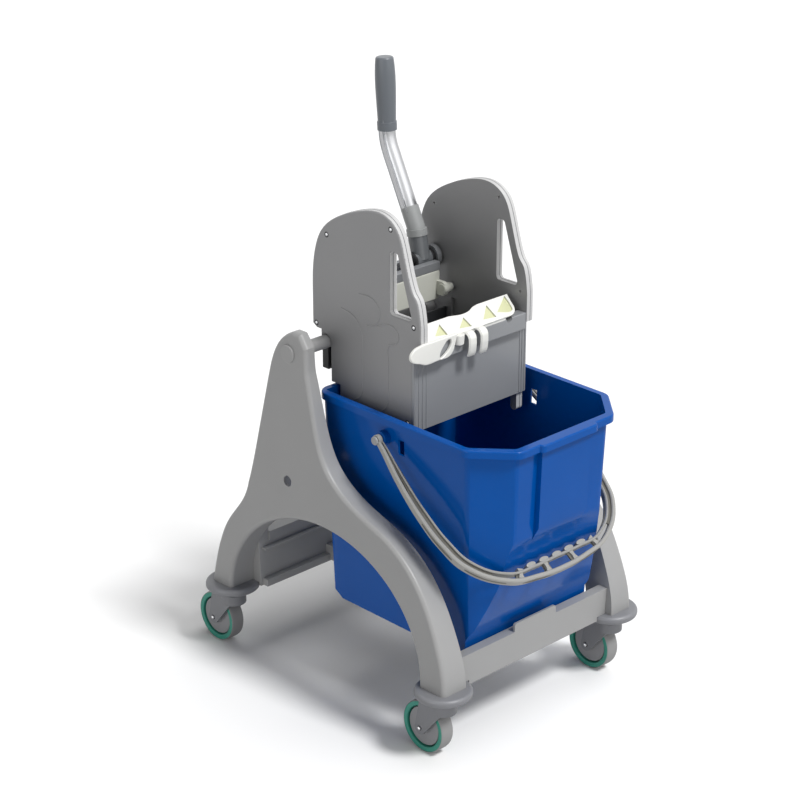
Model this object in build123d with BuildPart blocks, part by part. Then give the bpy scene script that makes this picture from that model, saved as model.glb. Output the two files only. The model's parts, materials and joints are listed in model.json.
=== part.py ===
from build123d import *

import os
from math import atan, cos, degrees, radians, sin, sqrt

os.makedirs("parts", exist_ok=True)

# Single-bucket mopping trolley. Two moulded side frames stand on four swivel
# casters and carry a lift-out bucket with a bail, and a press wringer with a
# hand lever that hooks over a cross tube.
# Millimetres, +Z up, front at -Y, origin on the floor midway between the casters.

# ---------------------------------------------------------------- clearances
fit_gap = 0.05  # radial, pressed or bolted pieces of one body
run_gap = 0.08  # radial, a pin or stem that turns in its bore
free_gap = 0.3  # between faces that move past each other
thrust_gap = 0.2  # under a turning face

# ---------------------------------------------------------------- casters
swivel_x = 177.0  # swivel axes, from the middle to each side
swivel_y = 231.0  # swivel axes, from the middle to front and rear
wheel_radius = 40.0
wheel_half = 12.0
tyre_depth = 3.0
ring_depth = 5.8
hub_half = 10.0
hub_web_half = 3.0
hub_boss_radius = 9.0
hub_rim_depth = 6.0
trail = 30.0  # wheel axle behind the swivel axis
axle_radius = 4.0
axle_head_radius = 6.5
axle_head_depth = 3.0
fork_wall = 4.0
fork_plate = 6.0
fork_plate_radius = 20.0
fork_eye_radius = 10.0
fork_skirt_low = 34.0  # above the axle, round the front
wheel_headroom = 3.8
stem_radius = 8.0
stem_reach = 28.0  # stem above the side frame's foot
cup_radius = 21.0
cup_height = 10.0
bumper_radius = 42.0
bumper_height = 12.0
bumper_round = 5.0

fork_inner = wheel_half + 1.5
fork_outer = fork_inner + fork_wall
hub_boss_half = fork_inner - free_gap
plate_bottom = 2 * wheel_radius + wheel_headroom
plate_top = plate_bottom + fork_plate
cup_bottom = plate_top + thrust_gap
bumper_bottom = cup_bottom + cup_height
foot_z = bumper_bottom + bumper_height  # underside of the side frames

# ---------------------------------------------------------------- side frames
frame_height = 455.0
frame_foot_half = 22.4  # half the foot's width, across X
frame_draft = 0.032  # each face leans in by this share of the height
frame_wall = 4.0
frame_round = 7.0
foot_overhang = 23.0  # past the swivel axes
foot_y = swivel_y + foot_overhang
front_foot_length = 51.0
rear_foot_length = 45.0
arch_rise = 172.0
head_front_y = 42.0
head_rear_y = 72.0
head_corner = 14.0
sight_hole_radius = 8.5
sight_hole_height = 222.0

# Each leg as (share of its reach to the foot, share of the frame's height).
front_leg_shape = (
    (1.0, 0.0),
    (0.946, 0.158),
    (0.784, 0.343),
    (0.578, 0.440),
    (0.345, 0.495),
    (0.159, 0.578),
    (0.068, 0.708),
    (0.014, 0.853),
    (0.0, 0.958),
)
knee = (0.544, 0.420)
rear_lower_shape = ((0.637, 0.336), (0.797, 0.251), (0.934, 0.123), (1.0, 0.0))
rear_upper_shape = ((0.445, 0.567), (0.297, 0.820), (0.187, 0.941), (0.0, 1.0))

# Pockets in the inner face, as (share of foot_y, share of the frame's height).
pocket_shapes = (
    (
        (-0.650, 0.259),
        (-0.650, 0.352),
        (-0.508, 0.418),
        (-0.236, 0.473),
        (-0.031, 0.554),
        (-0.031, 0.400),
        (-0.236, 0.387),
        (-0.472, 0.330),
    ),
    (
        (-0.008, 0.404),
        (-0.008, 0.545),
        (0.118, 0.681),
        (0.189, 0.862),
        (0.417, 0.862),
        (0.417, 0.378),
        (0.236, 0.400),
    ),
    (
        (0.433, 0.374),
        (0.433, 0.769),
        (0.476, 0.769),
        (0.571, 0.567),
        (0.634, 0.418),
        (0.732, 0.308),
        (0.732, 0.229),
        (0.630, 0.275),
    ),
)

# ---------------------------------------------------------------- cross tube
tube_radius = 10.0
tube_y = 79.0
tube_height = 420.0  # above foot_z
tube_end_x = 184.0
tube_boss_radius = 15.0
cap_radius = 13.6
cap_depth = 4.5
tube_z = foot_z + tube_height

# ---------------------------------------------------------------- crossbars and bucket rest
bar_wall = 4.0
front_bar_y = 242.0  # front face, forward of the middle
front_bar_depth = 15.5
front_bar_drop = 7.0  # below the side frame's foot
front_bar_height = 49.0
front_tab_height = 13.0
front_tab_half = 43.5
front_tab_proud = 1.5
rear_bar_y = 190.0
rear_bar_depth = 46.0
rear_bar_drop = 5.0
rear_bar_height = 89.0
rear_lip_height = 15.0
rear_lip_proud = 3.0
bracket_width = 17.0
bracket_height = 123.0
bracket_depth = 16.0
bolt_radius = 3.0
bolt_head_radius = 5.5
bolt_head_depth = 3.5
bolt_reach = 10.0
front_bolt_height = 16.0  # above the side frame's foot
rear_bolt_heights = (46.0, 66.0)
rear_bolt_set = 6.0  # forward of the rear swivel axes
spine_half = 20.0
spine_depth = 24.0
rest_half = 75.0
rest_front_y = 200.0
rest_rear_y = 40.0
rest_plate = 8.0

# ---------------------------------------------------------------- bucket
bucket_lift_off = 22.0  # bucket floor above the side frame's foot
bucket_height = 336.0
bucket_half = 139.0  # wall, at the rim
bucket_draft = 0.04
bucket_wall = 3.0
bucket_chamfer_x = 47.0
bucket_chamfer_y = 52.0
bucket_front_y = 287.0
bucket_rear_y = 58.0
bucket_corner = 14.0
bucket_fold = 4.0
panel_half = 50.0
panel_proud = 6.0
rim_width = 8.0
rim_depth = 11.0
rim_skin = 2.5
overflow_front_y = 110.0
overflow_rear_y = 98.0
overflow_low = 30.0  # below the bucket's rim plane, to the slot's top
overflow_tall = 23.0
bucket_foot_gap = 4.5  # behind the front crossbar
bucket_foot_y = front_bar_y - front_bar_depth - bucket_foot_gap
# Side view: (share of the way back to the foot, below the rim) down the front wall.
front_fall = (
    (0.0, 0.0),
    (0.062, 132.0),
    (0.231, 170.0),
    (0.377, 217.0),
    (0.569, 253.0),
    (0.785, 288.0),
    (0.969, 306.0),
    (1.0, bucket_height),
)
panel_fall = ((4.0, 132.0), (27.0, 172.0))  # the raised panel's face, down to its foot
rear_lean = 5.0
rear_bevel = (18.0, 11.25)
headroom = 40.0  # the working solids reach this far over the rim

# ---------------------------------------------------------------- bail
bail_drop = 34.0  # pivot below the rim
bail_pivot_y = -72.0
bail_angle = 38.23  # below horizontal, at rest on the bucket's front wall
bail_thickness = 12.0
bail_clearance = 9.8  # beside the bucket's wall
bail_inner_half = bucket_half + bail_clearance
bail_pin_radius = 5.0
bail_pin_head_radius = 9.0
bail_eye_radius = 11.0
bail_eye_width = 8.0
bail_straight = 12.0  # the arms run straight this far past the pivot
bail_bar_set = 10.76  # the bar's inner edge, behind the bucket's front
bail_bar_width = 24.0
bail_bar_inner = (bucket_front_y + bail_pivot_y - bail_bar_set) / cos(radians(bail_angle))
bail_bar_outer = bail_bar_inner + bail_bar_width
bail_head_depth = 3.0
# (outward of the eye, short of the bar) along each edge of the bail, from the bar to the eye
bail_outer_bow = ((-55.8, 14.0), (-1.8, 58.0), (15.2, 150.0))
bail_inner_bow = ((7.2, 126.0), (-9.8, 40.0), (-56.8, 4.0))
# (across, short of the bar's middle, length, height, turn) of the windows on one side
bail_window = (40.0, 15.0)
bail_windows = ((52.0, 3.0, 42.0, 15.0, 5.0), (103.0, 14.0, 38.0, 14.0, 22.0))
bail_window_round = 4.0

# ---------------------------------------------------------------- wringer
# Heights are above the cross tube's axis.
wringer_half = 114.0
core_thick = 7.0
cover_thick = 7.0
cover_round = 3.0
plate_rear_reach = 28.0  # behind the tube's axis
plate_top_rise = 220.0
plate_rear_edge = (21.0, 79.0)  # lowest and highest point of the straight rear edge
plate_heel = (9.0, 16.0)  # behind and above the hook
# (behind the tube, below the top) along the plate's crown, from the rear to the front
plate_crown = (
    (22.0, 84.0),
    (10.0, 55.0),
    (-33.0, 21.0),
    (-79.0, 3.0),
    (-125.0, 0.0),
    (-147.0, 13.0),
    (-161.0, 41.0),
    (-181.0, 100.0),
)
band_high = 71.0
hand_hole = ((-135.0, -135.0), (-149.0, -179.0))  # rear and front edges, at top and foot
hand_hole_low = 78.0
hand_hole_top_gap = 49.0  # below the plate's top
hand_hole_round = 6.0
plate_tail_gap = 2.0  # over the bucket's rim
plate_tail_reach = 50.0  # rear edge of the part inside the bucket
hook_gap = 0.4
panel_front = 105.0  # front faces, forward of the middle
band_front = 118.0
panel_skin = 4.0
panel_drop = 87.0
lip_low = 17.0
lip_high = 42.0
lip_proud = 12.0
lip_round = 1.5
lip_notch_x = 65.0
lip_notch_radius = 6.0
band_low = 28.0
prong_length = 30.0
prong_width = 12.0
sieve_skin = 4.0
sieve_hole_radius = 5.0
sieve_pitch = 20.0
sieve_columns = 9
sieve_rows = 7
rear_panel_y = 45.0
rear_panel_high = 8.0
slot_y = 30.0
slot_half = 6.0
slot_low = -4.0
slot_high = 25.0
slot_depth = 5.0
adapter_skin = 4.0
adapter_top = (88.0, 72.0)  # forward of the middle, above the tube
adapter_tab_low = 19.0
adapter_tab_high = 50.0
adapter_tab_x = (-137.0, -48.0)
# how far each corner of the tab is cut back, across and up
adapter_low_left = (20.0, 12.0)
adapter_low_right = (12.0, 18.0)
adapter_high_left = (14.0, 6.0)
adapter_high_drop = 4.0
adapter_tab_round = 4.0
# (in from the tab's end, up, length, width, turn)
adapter_slot = (18.0, 18.0, 20.0, 7.0, 55.0)
hook_top_gap = 5.5  # below the tab's top
adapter_nose_top = 2.5  # below the tab's top
adapter_back_lean = 3.0
adapter_dip_x = -3.0
adapter_dip_depth = 7.0
adapter_dip_radius = 50.0
hook_width = 21.0
hook_low = 7.0
hook_xs = (-21.5, 1.5)
clip_front = 6.0
clip_rear = 7.0
clip_drop = 42.0
screw_radius = 2.0
screw_head_radius = 4.5
screw_head_depth = 1.8
screw_reach = 5.0
crown_screw_gaps = (56.0, 17.0)  # below the plate's top, rear and front
screw_places = (
    (-5.0, plate_top_rise - crown_screw_gaps[0]),
    (-137.0, plate_top_rise - crown_screw_gaps[1]),
    (19.0, 24.0),
    (-183.0, 71.0),
    (-171.0, -76.0),
)

# ---------------------------------------------------------------- lever and press
shaft_forward = 9.5  # of the tube's axis
shaft_rise = 85.0
shaft_radius = 8.0
bush_radius = 11.0
lever_x = 68.0
lever_hub_radius = 12.0
lever_hub_half = 15.0
lever_radius = 12.5
lever_wall = 1.5
lever_knees = ((8.0, 44.0), (70.0, 168.0), (76.5, 292.0))  # from the shaft's axis
lever_bends = (35.0, 60.0)
neck_wall = 2.0
neck_length = 36.0
neck_grip = 8.0  # the tube reaches this far into the neck
sleeve_wall = 1.2
sleeve_length = 35.0  # past the lower knee
collar_proud = 2.0
collar_length = 10.0
grip_walls = ((0.0, 1.0), (0.2, 1.4), (0.62, 2.8), (0.85, 2.2), (1.0, 0.6))  # (share of its length, over the tube)
grip_length = 109.0
grip_ring_length = 13.0
grip_ring_proud = 2.2
grip_ring_round = 0.6
grip_round = 3.5
grip_end = 9.0  # the tube stops this far below the grip's end
cam_radius = 17.0
cam_inner_x = 88.0
cam_width = 9.0
pad_half = 85.0
pad_face_y = 45.0
pad_depth = 7.0
pad_low = 25.0
pad_high = 70.0
carrier_skin = 4.8
carrier_high = 83.0
ear_reach = 17.0
ear_half_height = 10.5
ear_thick = 7.0
guide_pin_y = 34.0
guide_pin_rise = 44.0
guide_pin_radius = 6.0

bucket_z = foot_z + bucket_lift_off
rim_z = bucket_z + bucket_height
bail_z = rim_z - bail_drop
plate_inner = wringer_half - core_thick - cover_thick
plate_seam = wringer_half - cover_thick
inside_half = plate_inner - free_gap
shaft_y = tube_y - shaft_forward
shaft_z = tube_z + shaft_rise


def save(piece, name):
    """Label a finished piece and write it as its own file."""
    piece.part.label = name
    export_step(piece.part, f"parts/{name}.step")


def frame_face(side, z):
    """X of the right side frame's inner (-1) or outer (+1) face at height z."""
    return swivel_x + side * (frame_foot_half - frame_draft * (z - foot_z))


front_bar_low = foot_z - front_bar_drop
front_bar_high = front_bar_low + front_bar_height
front_bar_rear = front_bar_depth - front_bar_y
rear_bar_low = foot_z - rear_bar_drop
rear_bar_high = rear_bar_low + rear_bar_height
bar_end_x = frame_face(-1, foot_z)
bracket_high = rear_bar_low + bracket_height
front_bolt = (front_bar_rear - (front_bar_depth - bar_wall) / 2, foot_z + front_bolt_height)
rear_bolts = [(swivel_y - rear_bolt_set, foot_z + height) for height in rear_bolt_heights]


# ================================================================ side frames
def leg_points(head_y, foot_end_y, shape):
    """Places a leg's shape between the frame's head and the foot's end."""
    return [
        (head_y + (foot_end_y - head_y) * reach, foot_z + frame_height * rise)
        for reach, rise in shape
    ]


front_leg = leg_points(head_front_y, -foot_y, front_leg_shape)
rear_lower = leg_points(head_rear_y, foot_y, (knee,) + rear_lower_shape)
rear_upper = leg_points(head_rear_y, foot_y, (knee,) + rear_upper_shape)
frame_top = foot_z + frame_height
arch_front_y = front_foot_length - foot_y
arch_rear_y = foot_y - rear_foot_length

with BuildSketch(Plane.YZ) as frame_outline:
    with BuildLine():
        Spline(*front_leg, tangents=[(0, 1), (0, 1)])
        Line(front_leg[-1], (head_front_y + head_corner, frame_top))
        Line((head_front_y + head_corner, frame_top), rear_upper[-1])
        Spline(*rear_upper)
        Spline(*rear_lower)
        Line(rear_lower[-1], front_leg[0])
    make_face()
    with Locations(((arch_front_y + arch_rear_y) / 2, foot_z)):
        Ellipse((arch_rear_y - arch_front_y) / 2, arch_rise, mode=Mode.SUBTRACT)

with BuildPart() as frame_pocket:
    with BuildSketch(Plane.XZ):
        Polygon(
            (frame_face(-1, foot_z) - frame_wall, foot_z),
            (frame_face(1, foot_z) - frame_wall, foot_z),
            (frame_face(1, frame_top) - frame_wall, frame_top),
            (frame_face(-1, foot_z) - frame_wall, frame_top),
            align=None,
        )
    extrude(amount=foot_y, both=True)
    with BuildSketch(Plane.YZ):
        for pocket in pocket_shapes:
            corners = [(along * foot_y, foot_z + rise * frame_height) for along, rise in pocket]
            Polygon(*corners, align=None)
        fillet(vertices(), radius=frame_wall)
        with Locations((tube_y, tube_z)):
            Circle(tube_boss_radius, mode=Mode.SUBTRACT)
    extrude(amount=2 * swivel_x, mode=Mode.INTERSECT)

with BuildPart() as side_frame_right:
    with BuildSketch(Plane.XZ):
        Polygon(
            (frame_face(-1, foot_z), foot_z),
            (frame_face(1, foot_z), foot_z),
            (frame_face(1, frame_top), frame_top),
            (frame_face(-1, frame_top), frame_top),
            align=None,
        )
    extrude(amount=foot_y + frame_wall, both=True)
    extrude(frame_outline.sketch, amount=2 * swivel_x, mode=Mode.INTERSECT)
    outer_edges = faces().sort_by(Axis.X)[-1].edges()
    fillet(outer_edges.filter_by(lambda edge: edge.center().Z > foot_z + 1), radius=frame_round)
    add(frame_pocket.part, mode=Mode.SUBTRACT)
    # Bores for the cross tube with its end cap, and the open sight hole.
    with BuildSketch(Plane.YZ):
        with Locations((tube_y, tube_z)):
            Circle(tube_radius + fit_gap)
        with Locations((tube_y, foot_z + sight_hole_height)):
            Circle(sight_hole_radius)
    extrude(amount=2 * swivel_x, mode=Mode.SUBTRACT)
    with BuildSketch(Plane.YZ.offset(tube_end_x)):
        with Locations((tube_y, tube_z)):
            Circle(cap_radius + fit_gap)
    extrude(amount=swivel_x, mode=Mode.SUBTRACT)
    # Bores for the caster stems, open at the underside.
    with BuildSketch(Plane.XY.offset(foot_z)):
        with Locations((swivel_x, -swivel_y), (swivel_x, swivel_y)):
            Circle(stem_radius + free_gap)
    extrude(amount=stem_reach + thrust_gap, mode=Mode.SUBTRACT)
    # Blind bores for the crossbars' bolts.
    with BuildSketch(Plane.YZ.offset(bar_end_x)):
        with Locations(front_bolt, *rear_bolts):
            Circle(bolt_radius + fit_gap)
    extrude(amount=bolt_reach + 1, mode=Mode.SUBTRACT)
save(side_frame_right, "side_frame_right")

with BuildPart() as side_frame_left:
    mirror(side_frame_right.part, about=Plane.YZ)
save(side_frame_left, "side_frame_left")

# ================================================================ cross tube
with BuildPart() as cross_tube:
    with BuildSketch(Plane.YZ):
        with Locations((tube_y, tube_z)):
            Circle(tube_radius)
            Circle(tube_radius - 1.5, mode=Mode.SUBTRACT)
    extrude(amount=tube_end_x, both=True)
save(cross_tube, "cross_tube")

with BuildPart() as tube_caps:
    with BuildSketch(Plane.YZ.offset(tube_end_x)):
        with Locations((tube_y, tube_z)):
            Circle(cap_radius)
    extrude(amount=cap_depth)
    fillet(faces().sort_by(Axis.X)[-1].edges(), radius=1.5)
    mirror(about=Plane.YZ)
save(tube_caps, "tube_caps")

# Saddle clips under the tube, one beside each wringer plate's tail.
with BuildPart() as tube_clips:
    with BuildSketch(Plane.YZ.offset(plate_inner)):
        with Locations((tube_y, tube_z - clip_drop)):
            Rectangle(clip_front, clip_drop, align=(Align.MAX, Align.MIN))
            Rectangle(clip_rear, clip_drop, align=(Align.MIN, Align.MIN))
        with Locations((tube_y, tube_z)):
            Circle(tube_radius + fit_gap, mode=Mode.SUBTRACT)
    extrude(amount=wringer_half - plate_inner)
    mirror(about=Plane.YZ)
save(tube_clips, "tube_clips")

# ================================================================ crossbars and bucket rest
rest_top = bucket_z - free_gap


def end_sketch(inner_x, low, high):
    """Outline of a crossbar end that follows the side frame's leaning face."""
    Polygon(
        (inner_x, low),
        (bar_end_x, low),
        (bar_end_x, foot_z),
        (frame_face(-1, high), high),
        (inner_x, high),
        align=None,
    )


with BuildPart() as front_crossbar:
    with BuildSketch(Plane.XZ.offset(-front_bar_rear)):
        end_sketch(0, front_bar_low, front_bar_high)
    extrude(amount=front_bar_depth)
    mirror(about=Plane.YZ)
    # Channel, open to the rear, with closed ends.
    with BuildSketch(Plane.XZ.offset(-front_bar_rear)):
        with Locations((0, (front_bar_low + front_bar_high) / 2)):
            Rectangle(2 * (bar_end_x - bar_wall), front_bar_height - 2 * bar_wall)
    extrude(amount=front_bar_depth - bar_wall, mode=Mode.SUBTRACT)
    # Raised middle tab with rounded corners.
    with BuildSketch(Plane.XZ.offset(front_bar_y - bar_wall)):
        with Locations((0, front_bar_low + bar_wall)):
            Rectangle(
                2 * front_tab_half,
                front_bar_height + front_tab_height - bar_wall,
                align=(Align.CENTER, Align.MIN),
            )
        fillet(vertices().group_by(Axis.Y)[-1], radius=bar_wall)
    extrude(amount=bar_wall + front_tab_proud)
    with BuildSketch(Plane.YZ.offset(-2 * swivel_x)):
        with Locations(front_bolt):
            Circle(bolt_radius + fit_gap)
    extrude(amount=4 * swivel_x, mode=Mode.SUBTRACT)
    # Clear of the bumpers at both ends.
    with BuildSketch(Plane.XY.offset(front_bar_low)):
        with Locations((-swivel_x, -swivel_y), (swivel_x, -swivel_y)):
            Circle(bumper_radius + free_gap)
    extrude(amount=foot_z - front_bar_low, mode=Mode.SUBTRACT)
save(front_crossbar, "front_crossbar")

with BuildPart() as rear_crossbar:
    with BuildSketch(Plane.XZ.offset(-rear_bar_y - rear_bar_depth)):
        end_sketch(0, rear_bar_low, rear_bar_high)
    extrude(amount=rear_bar_depth)
    # End brackets stand taller than the bar.
    with BuildSketch(Plane.XZ.offset(-rear_bar_y - bracket_depth)):
        end_sketch(bar_end_x - bracket_width, rear_bar_low, bracket_high)
    extrude(amount=bracket_depth)
    mirror(about=Plane.YZ)
    # Hollow, open underneath.
    with BuildSketch(Plane.XY.offset(rear_bar_low)):
        with Locations((0, rear_bar_y + rear_bar_depth / 2)):
            Rectangle(2 * (bar_end_x - bar_wall), rear_bar_depth - 2 * bar_wall)
    extrude(amount=rear_bar_height - bar_wall, mode=Mode.SUBTRACT)
    # Overhanging lip along the top of the front face.
    with BuildSketch(Plane.XZ.offset(-rear_bar_y)):
        with Locations((0, rear_bar_high - rear_lip_height / 2)):
            Rectangle(2 * (bar_end_x - bracket_width), rear_lip_height)
    extrude(amount=rear_lip_proud)
    with BuildSketch(Plane.YZ.offset(-2 * swivel_x)):
        with Locations(*rear_bolts):
            Circle(bolt_radius + fit_gap)
    extrude(amount=4 * swivel_x, mode=Mode.SUBTRACT)
    # Clear of the bumpers at both ends.
    with BuildSketch(Plane.XY.offset(rear_bar_low)):
        with Locations((-swivel_x, swivel_y), (swivel_x, swivel_y)):
            Circle(bumper_radius + free_gap)
    extrude(amount=foot_z - rear_bar_low, mode=Mode.SUBTRACT)
save(rear_crossbar, "rear_crossbar")

with BuildPart() as frame_bolts:
    with BuildSketch(Plane.YZ.offset(bar_end_x - bar_wall)):
        with Locations(front_bolt, *rear_bolts):
            Circle(bolt_radius)
    extrude(amount=bar_wall + bolt_reach)
    with BuildSketch(Plane.YZ.offset(bar_end_x - bar_wall)):
        with Locations(front_bolt, *rear_bolts):
            RegularPolygon(bolt_head_radius, 6)
    extrude(amount=-bolt_head_depth)
    mirror(about=Plane.YZ)
save(frame_bolts, "frame_bolts")

# A spine from bar to bar and the plate that the bucket stands on.
spine_low = front_bar_low + bar_wall
with BuildPart() as bucket_rest:
    with BuildSketch(Plane.XY.offset(spine_low)):
        with Locations((0, bar_wall - front_bar_y)):
            Rectangle(
                2 * spine_half,
                front_bar_y + rear_bar_y - bar_wall,
                align=(Align.CENTER, Align.MIN),
            )
    extrude(amount=rest_top - spine_low)
    with BuildSketch(Plane.XY.offset(rest_top)):
        with Locations((0, (rest_rear_y - rest_front_y) / 2)):
            RectangleRounded(2 * rest_half, rest_front_y + rest_rear_y, bucket_corner)
    extrude(amount=-rest_plate)
    # The spine is a trough, open underneath.
    with BuildSketch(Plane.XY.offset(spine_low)):
        with Locations((0, bar_wall - front_bar_y + bar_wall)):
            Rectangle(
                2 * (spine_half - bar_wall),
                front_bar_y + rear_bar_y - 3 * bar_wall,
                align=(Align.CENTER, Align.MIN),
            )
    extrude(amount=rest_top - spine_low - bar_wall, mode=Mode.SUBTRACT)
save(bucket_rest, "bucket_rest")

# ================================================================ casters
corners = (
    ("front_left", -swivel_x, -swivel_y),
    ("front_right", swivel_x, -swivel_y),
    ("rear_left", -swivel_x, swivel_y),
    ("rear_right", swivel_x, swivel_y),
)
for corner, caster_x, caster_y in corners:
    wheel_y = caster_y + trail
    swivel_plane = Plane((caster_x, caster_y, 0))
    wheel_plane = Plane((caster_x, wheel_y, wheel_radius), x_dir=(0, 1, 0), z_dir=(1, 0, 0))

    with BuildPart() as bumper:
        with BuildSketch(swivel_plane.offset(bumper_bottom)):
            Circle(bumper_radius)
            Circle(stem_radius + free_gap, mode=Mode.SUBTRACT)
        extrude(amount=bumper_height)
        rims = edges().filter_by(GeomType.CIRCLE).group_by(SortBy.RADIUS)[-1]
        fillet(rims, radius=bumper_round)
    save(bumper, f"bumper_{corner}")

    with BuildPart() as cup:
        with BuildSketch(swivel_plane.offset(cup_bottom)):
            Circle(cup_radius)
            Circle(stem_radius + run_gap, mode=Mode.SUBTRACT)
        extrude(amount=cup_height)
        chamfer(faces().sort_by(Axis.Z)[0].edges().sort_by(SortBy.RADIUS)[-1], length=2)
    save(cup, f"caster_cup_{corner}")

    with BuildPart() as fork:
        with BuildSketch(swivel_plane.offset(plate_bottom)):
            Circle(fork_plate_radius)
            with Locations((0, trail / 2)):
                Rectangle(2 * fork_outer, trail)
        extrude(amount=fork_plate)
        # Skirt round the front, as thick as the cheeks.
        with BuildSketch(swivel_plane.offset(wheel_radius + fork_skirt_low)):
            Circle(fork_plate_radius)
            Circle(fork_plate_radius - fork_wall, mode=Mode.SUBTRACT)
            with Locations((0, fork_plate_radius / 2)):
                Rectangle(2 * fork_plate_radius, fork_plate_radius, mode=Mode.SUBTRACT)
        extrude(amount=plate_bottom - wheel_radius - fork_skirt_low)
        # Cheeks narrow from the plate to the axle's eye.
        for cheek_x in (-fork_outer, fork_inner):
            with BuildSketch(wheel_plane.offset(cheek_x)):
                with BuildLine():
                    cheek_front = -trail - sqrt(fork_plate_radius**2 - fork_outer**2)
                    Polyline(
                        (cheek_front, plate_top - wheel_radius),
                        (0, plate_top - wheel_radius),
                        (fork_eye_radius, 0),
                        (0, -fork_eye_radius),
                        (-fork_eye_radius * 0.7, -fork_eye_radius * 0.7),
                        (cheek_front, fork_skirt_low),
                        close=True,
                    )
                make_face()
                Circle(fork_eye_radius)
                Circle(axle_radius + fit_gap, mode=Mode.SUBTRACT)
            extrude(amount=fork_wall)
        with BuildSketch(swivel_plane.offset(plate_top)):
            Circle(stem_radius)
        extrude(amount=foot_z + stem_reach - plate_top)
        chamfer(faces().sort_by(Axis.Z)[-1].edges(), length=1.5)
    save(fork, f"fork_{corner}")

    with BuildPart() as axle:
        with BuildSketch(wheel_plane):
            Circle(axle_radius)
        extrude(amount=fork_outer, both=True)
        for head_x, head_depth in ((fork_outer, axle_head_depth), (-fork_outer, -axle_head_depth)):
            with BuildSketch(wheel_plane.offset(head_x)):
                Circle(axle_head_radius)
            extrude(amount=head_depth)
        for end_face in (faces().sort_by(Axis.X)[0], faces().sort_by(Axis.X)[-1]):
            fillet(end_face.edges(), radius=axle_head_depth / 2)
    save(axle, f"axle_{corner}")

    ring_radius = wheel_radius - tyre_depth - fit_gap
    hub_edge = ring_radius - ring_depth
    with BuildPart() as hub:
        with BuildSketch(wheel_plane):
            Circle(hub_edge)
            Circle(hub_edge - hub_rim_depth, mode=Mode.SUBTRACT)
        extrude(amount=hub_half, both=True)
        with BuildSketch(wheel_plane):
            Circle(hub_edge - hub_rim_depth / 2)
        extrude(amount=hub_web_half, both=True)
        with BuildSketch(wheel_plane):
            Circle(hub_boss_radius)
        extrude(amount=hub_boss_half, both=True)
        with BuildSketch(wheel_plane):
            Circle(axle_radius + run_gap)
        extrude(amount=wheel_half * 2, both=True, mode=Mode.SUBTRACT)
    save(hub, f"wheel_hub_{corner}")

    with BuildPart() as ring:
        with BuildSketch(wheel_plane):
            Circle(ring_radius)
            Circle(hub_edge + fit_gap, mode=Mode.SUBTRACT)
        extrude(amount=wheel_half - 0.5, both=True)
        chamfer(edges().filter_by(GeomType.CIRCLE).group_by(SortBy.RADIUS)[0], length=1)
    save(ring, f"wheel_ring_{corner}")

    with BuildPart() as tyre:
        with BuildSketch(wheel_plane):
            Circle(wheel_radius)
            Circle(ring_radius + fit_gap, mode=Mode.SUBTRACT)
        extrude(amount=wheel_half, both=True)
        fillet(edges().filter_by(GeomType.CIRCLE).group_by(SortBy.RADIUS)[-1], radius=2)
    save(tyre, f"tyre_{corner}")

# ================================================================ bucket
plan_taper = degrees(atan(bucket_draft))
front_set_back = bucket_front_y - bucket_foot_y
bucket_chamfer_start = bucket_front_y - bucket_chamfer_y
bucket_plan = (
    (bucket_half, bucket_rear_y + rim_width),
    (bucket_half, -bucket_chamfer_start),
    (bucket_half - bucket_chamfer_x, -bucket_front_y),
    (bucket_chamfer_x - bucket_half, -bucket_front_y),
    (-bucket_half, -bucket_chamfer_start),
    (-bucket_half, bucket_rear_y + rim_width),
)


def bucket_body(inset):
    """The bucket's volume, brought in by inset from every wall and the floor."""
    with BuildPart() as body:
        with BuildSketch(Plane.XY.offset(rim_z + headroom)):
            Polygon(
                *[
                    (x * (1 + headroom * bucket_draft / bucket_half), y)
                    for x, y in bucket_plan
                ],
                align=None,
            )
            fillet(vertices(), radius=bucket_corner)
            offset(amount=-inset, kind=Kind.INTERSECTION)
        extrude(amount=-(bucket_height + headroom), taper=plan_taper)
        with BuildSketch(Plane.YZ):
            with BuildLine():
                Polyline(
                    (-2 * bucket_front_y, rim_z + 2 * headroom),
                    *[(share * front_set_back - bucket_front_y, rim_z - below) for share, below in front_fall],
                    (bucket_rear_y - rear_lean - rear_bevel[0], bucket_z),
                    (bucket_rear_y - rear_lean, bucket_z + rear_bevel[1]),
                    (bucket_rear_y, rim_z),
                    (bucket_rear_y, rim_z + 2 * headroom),
                    close=True,
                )
            make_face()
            offset(amount=-inset, kind=Kind.INTERSECTION)
        extrude(amount=2 * bucket_half, both=True, mode=Mode.INTERSECT)
    return body.part


def rim_outline(grow):
    """Outline of the bucket's mouth with its middle panel, grown on every side."""
    with BuildSketch() as outline:
        Polygon(*[(x, min(y, bucket_rear_y)) for x, y in bucket_plan], align=None)
        fillet(vertices(), radius=bucket_corner)
        with Locations((0, -bucket_front_y - panel_proud)):
            Rectangle(2 * panel_half, bucket_chamfer_y, align=(Align.CENTER, Align.MIN))
        offset(amount=grow, kind=Kind.ARC)
    return outline.sketch


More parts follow.
